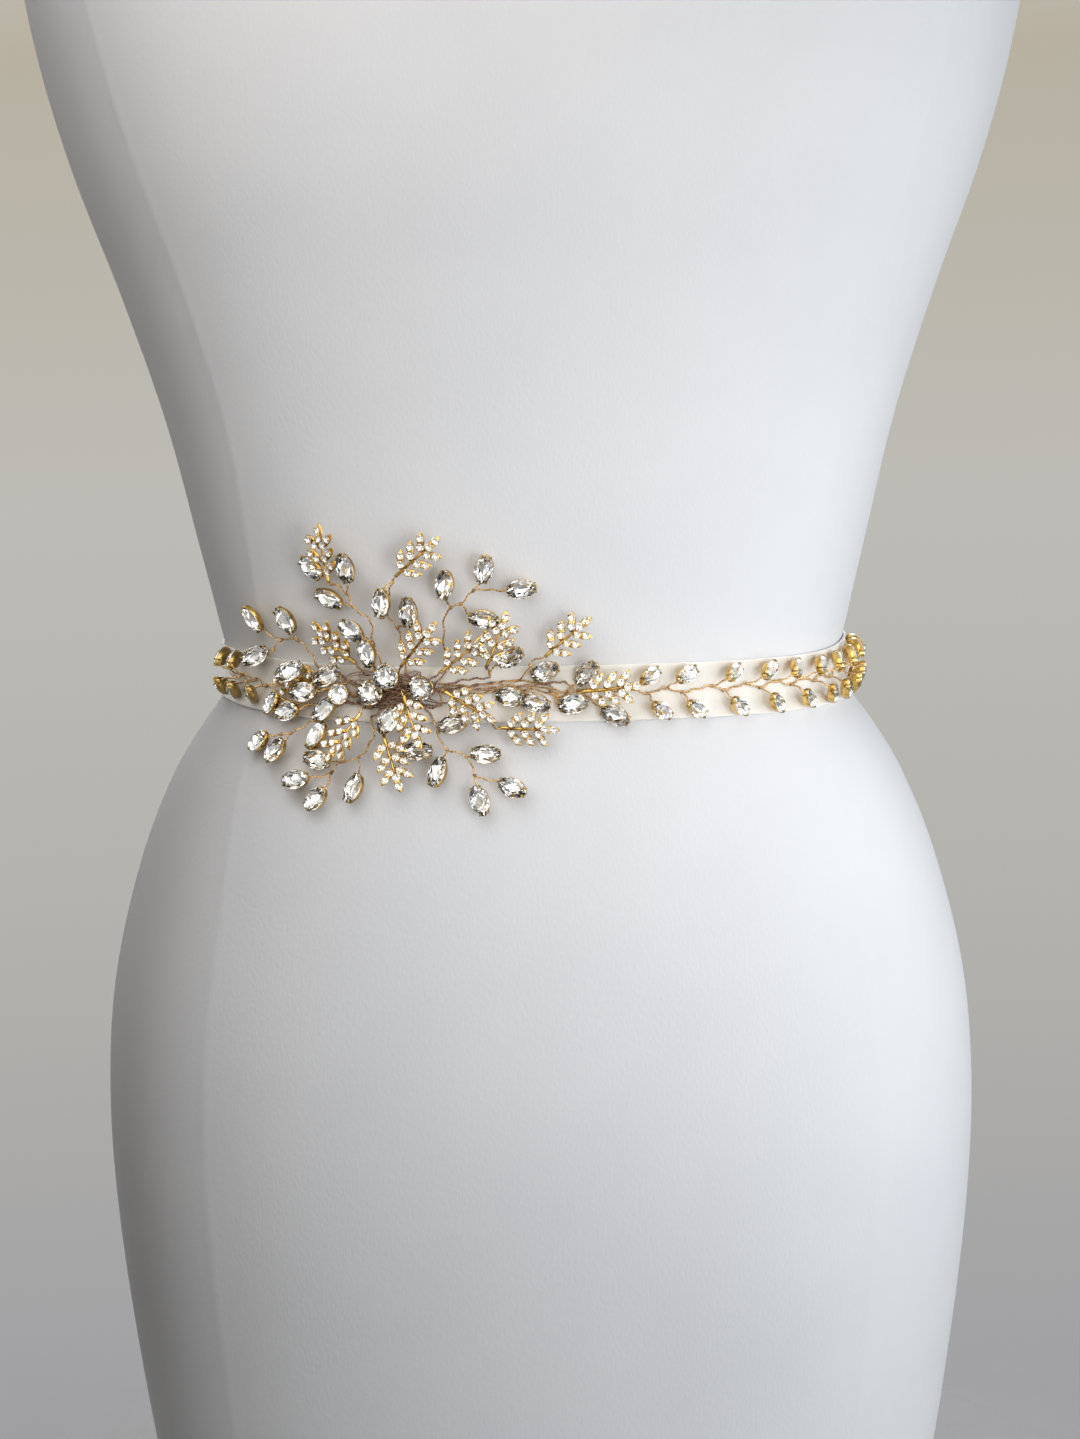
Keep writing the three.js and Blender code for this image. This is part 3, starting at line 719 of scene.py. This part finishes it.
def leaf_arms():
    """Each arm of a leaf: its angle and its root on the vein."""
    roots = [(place - 0.5) * LEAF_LENGTH for place in LEAF_ARMS]
    arms = [(side * ARM_ANGLE, (root, side * ARM_SIDE)) for root in roots for side in (1, -1)]
    return arms + [(0, (0.5 * LEAF_LENGTH - ARM_LENGTH, 0))]


def leaf_frame(row):
    return piece_frame(row.along, row.up, row.out, row.turn, (row.roll, row.pitch))


def curled(points):
    """Leaf points with the tip bent back and the arms folded a little forward."""
    points = np.array(points, float)
    points[:, 2] += LEAF_BEND * points[:, 0] ** 2 + LEAF_FOLD * np.abs(points[:, 1])
    return points


def leaf_bodies(row, gold, crystal):
    frame_at = leaf_frame(row)
    vein_reach = np.linspace(-LEAF_LENGTH / 2, LEAF_LENGTH / 2 - VEIN.short_of_tip, VEIN.points)
    vein_radii = np.linspace(VEIN.start_radius, VEIN.end_radius, VEIN.points)
    points, faces = tube([(x, 0, -VEIN.sunk) for x in vein_reach], vein_radii, VEIN.sides)
    gold.add(curled(points), faces, CAST, True, frame_at)
    lift = [0, 0, SMALL_STONE_LIFT]
    for angle, root in leaf_arms():
        points, faces = BLADE
        gold.add(curled(turned(points, angle, root)), faces, CAST, True, frame_at)
        for share in ARM_STONES:
            middle = turned([[share * ARM_LENGTH, 0, 0]], angle, root)[0]
            points, faces, finishes = SMALL_CUT
            crystal.add(curled(turned(points, angle, middle) + lift), faces, finishes, False, frame_at)
            for points, faces in SMALL_CUP:
                gold.add(curled(turned(points, angle, middle) + lift), faces, CAST, True, frame_at)


def leaf_base(row, past):
    """A point on the leaf's vein past its start."""
    x = -LEAF_LENGTH / 2 + past
    return placed([x, 0, LEAF_BEND * x**2], leaf_frame(row))


# Pieces of the sash

def make_pair(node, gold, crystal, gold_slot, metals):
    gold.make(f"{node}_gold", gold_slot, [node], metals)
    crystal.make(f"{node}_stones", "crystal", [node], [CRYSTAL, FOIL])


def tail_to_heart(along, up, number):
    """The wire from a root along the ribbon to the heart, where all the wires are bound together."""
    reach = HEART_ALONG - along
    sway = TAIL_SWAY * math.sin(2.3 * number)
    out = STEM_OUT + TAIL_LAYER_STEP * (number % TAIL_LAYERS)
    return [on_form(along + row.share * reach, row.height * up + row.sway * sway, out) for row in TAIL_PLACES]


def heart_binding(number):
    """A loose turn of bare wire round the bound wires at the heart.

    The sines of its number give it a size and a place of its own.
    """
    angles = np.linspace(0, 2 * math.pi, BINDING.points) + number
    wide = BINDING.wide + BINDING_CHANGE.wide * math.sin(1.9 * number)
    high = BINDING.high + BINDING_CHANGE.high * math.sin(2.7 * number)
    along = HEART_ALONG + BINDING_CHANGE.along * math.sin(3.1 * number) + wide * np.cos(angles)
    up = BINDING.up + BINDING_CHANGE.up * math.cos(1.3 * number) + high * np.sin(angles + 0.4 * number)
    out = STEM_OUT + BINDING.out + BINDING_CHANGE.out * np.sin(2 * angles + number)
    return on_form(along, up, out)


def make_spray(name):
    gold, crystal = Gather(), Gather()
    points = [on_form(*place) for place in SPRAYS[name]]
    along, up, _ = SPRAYS[name][0]
    number = list(SPRAYS).index(name)
    # The wire to the heart and the loose turns there take the darker copper, which paints the shade among the
    # stones on them.
    twisted_wire(tail_to_heart(along, up, number), gold, HEART)
    for turn in range(HEART_TURNS):
        loop = heart_binding(number + turn * len(SPRAYS))
        gold.add(*tube(path_through(loop, WIRE_STEP), STRAND_RADIUS, STRAND_SIDES), HEART)
    for row in LEAVES:
        if row.name == name and row.root_along is None:
            points.append(leaf_base(row, -SEAM_GAP))
    path = path_through(points, WIRE_STEP)
    twisted_wire(points, gold)
    if name == "stem_right":
        for shift in STEM_BUNDLE:
            beside = [on_form(a, u + shift, out) for a, u, out in SPRAYS[name][:STEM_BUNDLE_POINTS]]
            twisted_wire(beside, gold)
    for index, row in enumerate(STONES):
        if row.spray != name:
            continue
        lean = facing_lean(index, row.turn) if row.pitch is None else (0, row.pitch)
        frame_at = piece_frame(row.along, row.up, row.out, row.turn, lean)
        fork, way = share_of(path, row.share)
        end, end_way = stone_root(CLUSTER_STONE, frame_at)
        twisted_wire(bent_twig(fork, way, end, end_way), gold)
        wrap(fork, way, gold)
        set_stone(CLUSTER_CUT, CLUSTER_CUP, frame_at, gold, crystal)
    make_pair(f"spray_{name}", gold, crystal, "gold_wire", CLUSTER_METALS)


def make_leaf(row):
    gold, crystal = Gather(), Gather()
    leaf_bodies(row, gold, crystal)
    if row.root_along is not None:
        root = on_form(row.root_along, row.root_up, STEM_OUT)
        knee = root + LEAF_STEM.knee_share * (leaf_base(row, LEAF_STEM.knee_past) - root)
        ends = [leaf_base(row, LEAF_STEM.near_past), leaf_base(row, LEAF_STEM.end_past)]
        twisted_wire([root, knee, *ends], gold)
        number = len(SPRAYS) + LEAVES.index(row)
        # The leaf's wire to the heart takes the darker copper: painted shade.
        twisted_wire(tail_to_heart(row.root_along, row.root_up, number), gold, HEART)
    make_pair(f"leaf_{row.name}", gold, crystal, "gold_leaf", CLUSTER_METALS)


def make_vine(vine):
    def stem_point(place, up):
        return on_form(vine.side * place, up + ribbon_rise(vine.side * place), STEM_OUT)

    gold, crystal = Gather(), Gather()
    stem = [stem_point(vine.forks[0] - VINE_LEAD, VINE_STEM_UP)]
    stones = []
    for number, place in enumerate(vine.forks):
        twig = VINE_TWIGS[(vine.first + number) % len(VINE_TWIGS)]
        stem.append(stem_point(place, twig.joint_up))
        along = vine.side * (place + twig.reach)
        height = twig.up + vine.stone_lift + ribbon_rise(along)
        heading = twig.turn if vine.side > 0 else 180 - twig.turn
        roll, tip = (VINE_LEAN_SHARE * lean for lean in lean_of(number))
        stones.append(piece_frame(along, height, VINE_OUT, heading, (roll, vine.pitch + tip)))
    stem.append(stem_point(vine.forks[-1] + VINE_END, VINE_STEM_UP))
    twisted_wire(stem, gold)
    if vine.side < 0:
        start = vine.side * (vine.forks[0] - VINE_LEAD)
        twisted_wire([stem[0], *tail_to_heart(start, ribbon_rise(start), len(SPRAYS))], gold)
    for number, frame_at in enumerate(stones):
        fork = stem[number + 1]
        way = unit(stem[number + 2] - stem[number])
        end, end_way = stone_root(VINE_STONE, frame_at)
        twisted_wire(bent_twig(fork, way, end, end_way), gold)
        wrap(fork, way, gold)
        set_stone(VINE_CUT, VINE_CUP, frame_at, gold, crystal)
    # The right-hand vine's metals paint light on it, and the left-hand vine's paint shade on its cups and
    # claws.
    make_pair(vine.name, gold, crystal, "gold_wire", VINE_METALS[vine.name])


def make_round_stone(row):
    gold, crystal = Gather(), Gather()
    stone = SimpleNamespace(length=row.length, width=row.width, pointed=0, **vars(ROUND_CUT))
    frame_at = piece_frame(row.along, row.up, row.out, 0)
    foot = on_form(row.along, row.up, RIBBON_GAP + RIBBON_THICKNESS + SEAM_GAP)
    neck = placed([0, 0, -CUP_DEPTH + POST_INTO_CUP], frame_at)
    gold.add(*tube(path_through([foot, neck], 1), POST_RADIUS, POST_SIDES), CAST)
    set_stone(cut_stone(stone), claw_cup(stone, ROUND_CLAWS), frame_at, gold, crystal)
    gold.make(f"cup_{row.name}_gold", "gold_wire", [f"cup_{row.name}"], CLUSTER_METALS)
    crystal.make(f"stone_{row.name}_cut", "crystal", [f"stone_{row.name}"], [CRYSTAL, FOIL])


RIBBON_STATIONS = 460

# The upper half of the ribbon's section, from the inner face round the soft selvedge to the outer face:
# how far in from the edge, and the share of the thickness
RIBBON_SELVEDGE = table("inset share", [
    (0.25, 0),
    (0, 0.3),
    (0, 0.75),
    (0.3, 1),
    (1.2, 0.93),
    (RIBBON_WIDTH / 4, 0.97),
])


def make_ribbon():
    """The ribbon with soft selvedges, its right-hand end rising over the left-hand end at the centre back."""
    reach = HALF_GIRTH + RIBBON_LAP / 2
    along = np.linspace(-reach, reach, RIBBON_STATIONS)
    lap_start = HALF_GIRTH - RIBBON_LAP / 2 - SEAM_GAP
    lapped = np.clip((along - lap_start + RIBBON_LAP_RAMP) / RIBBON_LAP_RAMP, 0, 1)
    gap = RIBBON_GAP + lapped**2 * (3 - 2 * lapped) * (RIBBON_THICKNESS + SEAM_GAP)
    upper = [(RIBBON_WIDTH / 2 - row.inset, row.share * RIBBON_THICKNESS) for row in RIBBON_SELVEDGE]
    lower = [(-up, out) for up, out in reversed(upper)]
    inner_face = [lower[-1], (-RIBBON_WIDTH / 4, 0), (0, 0), (RIBBON_WIDTH / 4, 0)]
    section = [*inner_face, *upper, (0, RIBBON_THICKNESS), *lower[:-1]]
    ups, outs = np.array(section).T
    rings = [on_form(np.full(len(section), a), ups + ribbon_rise(a), g + outs) for a, g in zip(along, gap)]
    points, faces = loft(rings)
    gather = Gather()
    gather.add(points, faces)
    ribbon = gather.make("sash_ribbon", "ribbon", ["ribbon"], [SATIN])
    layer = ribbon.data.uv_layers.new(name="cloth")
    run = np.repeat(along, len(section)) * MM
    rise = np.tile(ups, RIBBON_STATIONS) * MM
    corners = np.empty(len(ribbon.data.loops), int)
    ribbon.data.loops.foreach_get("vertex_index", corners)
    layer.data.foreach_set("uv", np.stack([run, rise], axis=1)[corners].ravel())


# The cover's princess seams show as low ridges under the jersey: the turn of the right-hand one at each rise,
# which the left-hand one mirrors, and the places of the columns of points over a seam, in half widths
SEAM_TURNS = table("rise turn", [
    (-380, 42),
    (-176, 42),
    (-75, 43),
    (0, 50),
    (105, 47),
    (245, 50),
    (330, 55),
    (472, 62),
])
SEAM_HEIGHT = 0.26
SEAM_HALF_WIDTH = 3
SEAM_COLUMNS = np.array([-3.5, -2.2, -1.3, -0.6, 0, 0.6, 1.3, 2.2, 3.5])
FRONT_COLUMNS = 26
BACK_COLUMNS = 74

# The rows of points on the form's cover, closer together at both ends
FORM_ROWS = table("low high count", [
    (-380, -378, 3),
    (-374, 466, 190),
    (467, 472, 6),
])


def make_form():
    """The dress form's jersey cover, with columns of points gathered close at the seams."""
    rises = np.concatenate([np.linspace(row.low, row.high, row.count) for row in FORM_ROWS])
    seam_rises = [row.rise for row in SEAM_TURNS]
    seam = np.radians(smooth(seam_rises, [[row.turn] for row in SEAM_TURNS], rises)[:, 0])
    ridge = SEAM_HEIGHT * np.exp(-SEAM_COLUMNS ** 2)
    rings = []
    for rise, turn in zip(rises, seam):
        radius = np.linalg.norm(form_point(turn, rise)[:2])
        near = SEAM_COLUMNS * SEAM_HALF_WIDTH / radius
        front = np.linspace(-turn + near[-1], turn + near[0], FRONT_COLUMNS)[1:-1]
        back = np.linspace(turn + near[-1], 2 * math.pi - turn + near[0], BACK_COLUMNS)[1:-1]
        columns = np.concatenate([-turn + near, front, turn + near, back])
        lift = np.concatenate([ridge, np.zeros(len(front)), ridge, np.zeros(len(back))])
        ring = form_point(columns, rise)
        outward = unit(ring * [1, 1, 0])
        rings.append(ring + outward * lift[:, None])
    gather = Gather()
    gather.add(*loft(rings))
    gather.make("form_cover", "form_cover", ["dress_form"], [JERSEY])


# Materials, with sizes in metres from here on

RAMP_START = 0.35
RAMP_END = 0.65

# A wave texture at scale 1 repeats after this distance, and the ribbon's ribs lie this far apart
WAVE_REPEAT = 0.314
RIB_SPACING = 0.0009


def shader(name):
    material = bpy.data.materials.new(name)
    material.use_nodes = True
    tree = material.node_tree
    return material, tree, tree.nodes["Principled BSDF"]


def add_node(tree, kind, **inputs):
    node = tree.nodes.new(kind)
    for key, value in inputs.items():
        node.inputs[key.replace("_", " ")].default_value = value
    return node


def noise(tree, scale, source="Object", detail=3.0, stretch=(1, 1, 1)):
    coordinates = add_node(tree, "ShaderNodeTexCoord")
    mapping = add_node(tree, "ShaderNodeMapping", Scale=stretch)
    texture = add_node(tree, "ShaderNodeTexNoise", Scale=scale, Detail=detail)
    tree.links.new(coordinates.outputs[source], mapping.inputs["Vector"])
    tree.links.new(mapping.outputs["Vector"], texture.inputs["Vector"])
    return texture.outputs["Fac"]


def colour_ramp(tree, source, stops):
    """Colours between stops, each a value and its colour."""
    node = tree.nodes.new("ShaderNodeValToRGB")
    elements = node.color_ramp.elements
    while len(elements) < len(stops):
        elements.new(0.5)
    for element, (position, colour) in zip(elements, stops):
        element.position = position
        element.color = (*colour, 1)
    tree.links.new(source, node.inputs["Fac"])
    return node.outputs["Color"]


def ramp(tree, source, low, high):
    """Colours or greys between two ends over the middle of a texture's values."""
    return colour_ramp(tree, source, [(RAMP_START, low), (RAMP_END, high)])


def grey(value):
    return (value, value, value)


def bump(tree, bsdf, source, strength, distance):
    node = add_node(tree, "ShaderNodeBump", Strength=strength, Distance=distance)
    tree.links.new(source, node.inputs["Height"])
    tree.links.new(node.outputs["Normal"], bsdf.inputs["Normal"])


def jersey():
    material, tree, bsdf = shader("white_jersey")
    tone = ramp(tree, noise(tree, scale=14), (0.79, 0.8, 0.825), (0.82, 0.83, 0.85))
    tree.links.new(tone, bsdf.inputs["Base Color"])
    bsdf.inputs["Roughness"].default_value = 0.92
    bsdf.inputs["Sheen Weight"].default_value = 0.12
    bsdf.inputs["Sheen Roughness"].default_value = 0.6
    bsdf.inputs["Specular IOR Level"].default_value = 0.2
    bump(tree, bsdf, noise(tree, scale=900, stretch=(1, 1, 0.45)), strength=0.25, distance=0.0004)
    return material


def satin():
    material, tree, bsdf = shader("ivory_satin")
    tone = ramp(tree, noise(tree, scale=90, source="UV"), (0.95, 0.935, 0.885), (0.98, 0.965, 0.92))
    tree.links.new(tone, bsdf.inputs["Base Color"])
    bsdf.inputs["Roughness"].default_value = 0.42
    bsdf.inputs["Sheen Weight"].default_value = 0.25
    bsdf.inputs["Sheen Roughness"].default_value = 0.4
    coordinates = add_node(tree, "ShaderNodeTexCoord")
    ribs = add_node(tree, "ShaderNodeTexWave", Scale=WAVE_REPEAT / RIB_SPACING, Distortion=0.6, Detail=1.0)
    tree.links.new(coordinates.outputs["UV"], ribs.inputs["Vector"])
    bump(tree, bsdf, ribs.outputs["Fac"], strength=0.3, distance=0.00012)
    return material


def metal(name, low, high, smoothest, roughest):
    material, tree, bsdf = shader(name)
    tone = ramp(tree, noise(tree, scale=260), low, high)
    tree.links.new(tone, bsdf.inputs["Base Color"])
    polish = ramp(tree, noise(tree, scale=700), grey(smoothest), grey(roughest))
    tree.links.new(polish, bsdf.inputs["Roughness"])
    bsdf.inputs["Metallic"].default_value = 1.0
    bump(tree, bsdf, noise(tree, scale=1500), strength=0.12, distance=0.0001)
    return material


def crystal_glass():
    material, tree, bsdf = shader("cut_crystal")
    tone = ramp(tree, noise(tree, scale=420, detail=1.0), (0.95, 0.97, 1.0), (1.0, 0.985, 0.96))
    tree.links.new(tone, bsdf.inputs["Base Color"])
    bsdf.inputs["Roughness"].default_value = 0.0
    bsdf.inputs["IOR"].default_value = 1.56
    bsdf.inputs["Transmission Weight"].default_value = 1.0
    return material


# The foil's tone changes at random between warm and cool; the warm patches stand in for the gold cups seen
# through the stones, so it is partly painted reflection.
def foil():
    material, tree, bsdf = shader("silver_foil")
    tone = ramp(tree, noise(tree, scale=350, detail=1.0), (0.9, 0.86, 0.76), (0.93, 0.95, 0.98))
    tree.links.new(tone, bsdf.inputs["Base Color"])
    bsdf.inputs["Metallic"].default_value = 1.0
    bsdf.inputs["Roughness"].default_value = 0.06
    return material


JERSEY = jersey()
SATIN = satin()
WIRE_GOLD = metal("copper_gold_wire", (0.34, 0.2, 0.08), (0.64, 0.45, 0.21), 0.16, 0.28)
# Its tone changes at random from dark to bright gold in patches; the dark patches also stand in for
# reflections of a dark room, so it is partly painted reflection.
CAST_GOLD = metal("yellow_gold", (0.3, 0.175, 0.04), (0.78, 0.52, 0.15), 0.14, 0.28)
# A darker copy of the copper for the wires at the heart: painted shade among the stones.
SHADED_HEART_COPPER = metal("copper_wire_painted_shade", (0.24, 0.145, 0.105), (0.43, 0.28, 0.2), 0.22, 0.36)
# A darker copy of the gold for claws, which reflect a dark room, and for the left-hand vine's cups, on the
# shaded side: painted shade.
SHADED_GOLD = metal("gold_painted_shade", (0.24, 0.16, 0.045), (0.46, 0.32, 0.11), 0.26, 0.38)
# Lighter copies of the wire and cast gold for the right-hand vine, on the lit side: painted light.
LIT_WIRE_GOLD = metal("gold_wire_painted_light", (0.5, 0.33, 0.15), (0.84, 0.62, 0.34), 0.2, 0.34)
LIT_CAST_GOLD = metal("yellow_gold_painted_light", (0.5, 0.3, 0.065), (0.92, 0.62, 0.2), 0.16, 0.3)
CRYSTAL = crystal_glass()
FOIL = foil()

# The metals of wires, cups and leaves, claws, and wires at the heart, in the order of the finishes. The
# claws' gold and the heart's copper are darker copies: painted shade.
CLUSTER_METALS = [WIRE_GOLD, CAST_GOLD, SHADED_GOLD, SHADED_HEART_COPPER]
# The right-hand vine's metals are the lighter copies: painted light. The left-hand vine's cups and claws take
# the darker gold: painted shade.
VINE_METALS = {
    "vine_right": [LIT_WIRE_GOLD, LIT_CAST_GOLD, SHADED_GOLD],
    "vine_left": [WIRE_GOLD, SHADED_GOLD, SHADED_GOLD],
}


# Camera, light and floor. The camera is placed in millimetres, like the form, and sees PHOTO_SCALE of them to
# a pixel of the photo at the form's middle.

CAMERA_REACH = 1250
CAMERA_PITCH = 7.2
CAMERA_ROLL = 0.9
CAMERA_AIM = np.array([2, 0, WAIST_HEIGHT - 22])
PHOTO_SCALE = 0.42
PHOTO_HEIGHT = 1439
SENSOR = 36.0


def make_camera():
    data = bpy.data.cameras.new("photo_camera")
    data.sensor_width = SENSOR
    data.lens = SENSOR * CAMERA_REACH / PHOTO_SCALE / PHOTO_HEIGHT
    camera = bpy.data.objects.new("photo_camera", data)
    pitch = math.radians(CAMERA_PITCH)
    back = Vector((0, -math.cos(pitch), math.sin(pitch)))
    camera.location = (Vector(CAMERA_AIM) + CAMERA_REACH * back) * MM
    camera.rotation_mode = "QUATERNION"
    camera.rotation_quaternion = (-back).to_track_quat("-Z", "Y")
    camera.rotation_quaternion.rotate(Quaternion(back, -math.radians(CAMERA_ROLL)))
    bpy.context.scene.collection.objects.link(camera)
    bpy.context.scene.camera = camera


# Lights aimed at the sash, from degrees to the right of the front and degrees above it. A glint panel shows
# only in metal and stones, so it doesn't light the cloth.
WHITE = (1, 1, 1)
WIDE = 180
LIGHTS = table("name turn lift reach size radiance colour spread glint", [
    ("window_side", 75, 0, 0.8, (0.7, 0.7), 1.93, (0.94, 0.97, 1.0), WIDE, False),
    ("window_right", 35, -10, 0.7, (0.7, 0.7), 1.25, (0.92, 0.96, 1.0), WIDE, False),
    ("window_left", -20, 30, 0.7, (0.7, 0.7), 1.45, (1.0, 0.95, 0.9), WIDE, False),
    ("window_top", 0, 70, 1.2, (1.2, 1.2), 0.65, WHITE, WIDE, False),
    ("window_waist", 25, 2, 0.8, (0.3, 0.3), 0.38, WHITE, 50, False),
    ("window_back", 180, 12, 1.3, (0.6, 0.9), 7, WHITE, WIDE, False),
    ("window_back_left", -135, 8, 1.3, (0.5, 0.9), 1.8, WHITE, WIDE, False),
    ("glint_top", 5, 62, 1.2, (0.9, 0.5), 2.4, WHITE, WIDE, True),
    ("glint_far_left", -85, 5, 1.2, (0.5, 0.7), 1.9, WHITE, WIDE, True),
    ("glint_low", 8, -32, 1.2, (0.8, 0.3), 1.6, WHITE, WIDE, True),
    ("glint_low_left", -55, -30, 1.2, (0.6, 0.4), 1.9, WHITE, WIDE, True),
])

# The backdrop's colours by height, from looking 30 degrees down to 30 degrees up
BACKDROP = table("height colour", [
    (0.0, (0.3, 0.3, 0.31)),
    (0.163, (0.355, 0.353, 0.368)),
    (0.314, (0.455, 0.445, 0.42)),
    (0.45, (0.51, 0.5, 0.465)),
    (0.595, (0.48, 0.44, 0.36)),
    (0.8, (0.8, 0.78, 0.76)),
])

FLOOR = SimpleNamespace(radius=0.8, sides=64, drop=0.0005, fade_start=0.1, fade_end=0.38)


def make_light(row):
    turn, lift = math.radians(row.turn), math.radians(row.lift)
    way = Vector((math.cos(lift) * math.sin(turn), -math.cos(lift) * math.cos(turn), math.sin(lift)))
    data = bpy.data.lights.new(row.name, "AREA")
    data.shape = "RECTANGLE"
    data.size, data.size_y = row.size
    data.energy = row.radiance * math.pi * row.size[0] * row.size[1]
    data.spread = math.radians(row.spread)
    data.color = row.colour
    light = bpy.data.objects.new(row.name, data)
    light.location = Vector((0, 0, WAIST_HEIGHT * MM)) + row.reach * way
    light.rotation_mode = "QUATERNION"
    light.rotation_quaternion = (-way).to_track_quat("-Z", "Y")
    light.visible_camera = False
    light.visible_diffuse = not row.glint
    bpy.context.scene.collection.objects.link(light)


def make_world():
    """A plain backdrop that shows behind the form, in metal and in stones, but doesn't light the cloth."""
    world = bpy.data.worlds.new("studio")
    world.use_nodes = True
    bpy.context.scene.world = world
    tree = world.node_tree
    way = add_node(tree, "ShaderNodeTexCoord").outputs["Generated"]
    split = tree.nodes.new("ShaderNodeSeparateXYZ")
    tree.links.new(way, split.inputs["Vector"])
    rise = add_node(tree, "ShaderNodeMapRange", From_Min=-0.5, From_Max=0.5)
    tree.links.new(split.outputs["Z"], rise.inputs["Value"])
    stops = [(row.height, row.colour) for row in BACKDROP]
    heights = colour_ramp(tree, rise.outputs["Result"], stops)
    tree.links.new(heights, tree.nodes["Background"].inputs["Color"])
    world.cycles_visibility.diffuse = False


def make_floor():
    """A pale floor that fades into the surroundings away from the form."""
    material, tree, bsdf = shader("pale_floor")
    tone = ramp(tree, noise(tree, scale=30), grey(0.46), grey(0.5))
    tree.links.new(tone, bsdf.inputs["Base Color"])
    bsdf.inputs["Roughness"].default_value = 0.9
    coordinates = add_node(tree, "ShaderNodeTexCoord")
    length = tree.nodes.new("ShaderNodeVectorMath")
    length.operation = "LENGTH"
    tree.links.new(coordinates.outputs["Object"], length.inputs[0])
    fade = add_node(tree, "ShaderNodeMapRange", From_Min=FLOOR.fade_start, From_Max=FLOOR.fade_end)
    fade.interpolation_type = "SMOOTHSTEP"
    tree.links.new(length.outputs["Value"], fade.inputs["Value"])
    clear = tree.nodes.new("ShaderNodeBsdfTransparent")
    mix = tree.nodes.new("ShaderNodeMixShader")
    tree.links.new(fade.outputs["Result"], mix.inputs["Fac"])
    tree.links.new(bsdf.outputs["BSDF"], mix.inputs[1])
    tree.links.new(clear.outputs["BSDF"], mix.inputs[2])
    tree.links.new(mix.outputs["Shader"], tree.nodes["Material Output"].inputs["Surface"])
    mesh = bpy.data.meshes.new("floor")
    angles = np.linspace(0, 2 * math.pi, FLOOR.sides, endpoint=False)
    edge = [(FLOOR.radius * math.cos(a), FLOOR.radius * math.sin(a), -FLOOR.drop) for a in angles]
    mesh.from_pydata(edge, [], [tuple(range(FLOOR.sides))])
    mesh.materials.append(material)
    floor = bpy.data.objects.new("floor", mesh)
    bpy.context.scene.collection.objects.link(floor)


make_camera()
make_world()
make_floor()
for light_row in LIGHTS:
    make_light(light_row)
bpy.context.scene.view_settings.view_transform = "Standard"

make_form()
make_ribbon()
for spray_name in SPRAYS:
    make_spray(spray_name)
for leaf_row in LEAVES:
    make_leaf(leaf_row)
for vine_row in VINES:
    make_vine(vine_row)
for stone_row in ROUND_STONES:
    make_round_stone(stone_row)
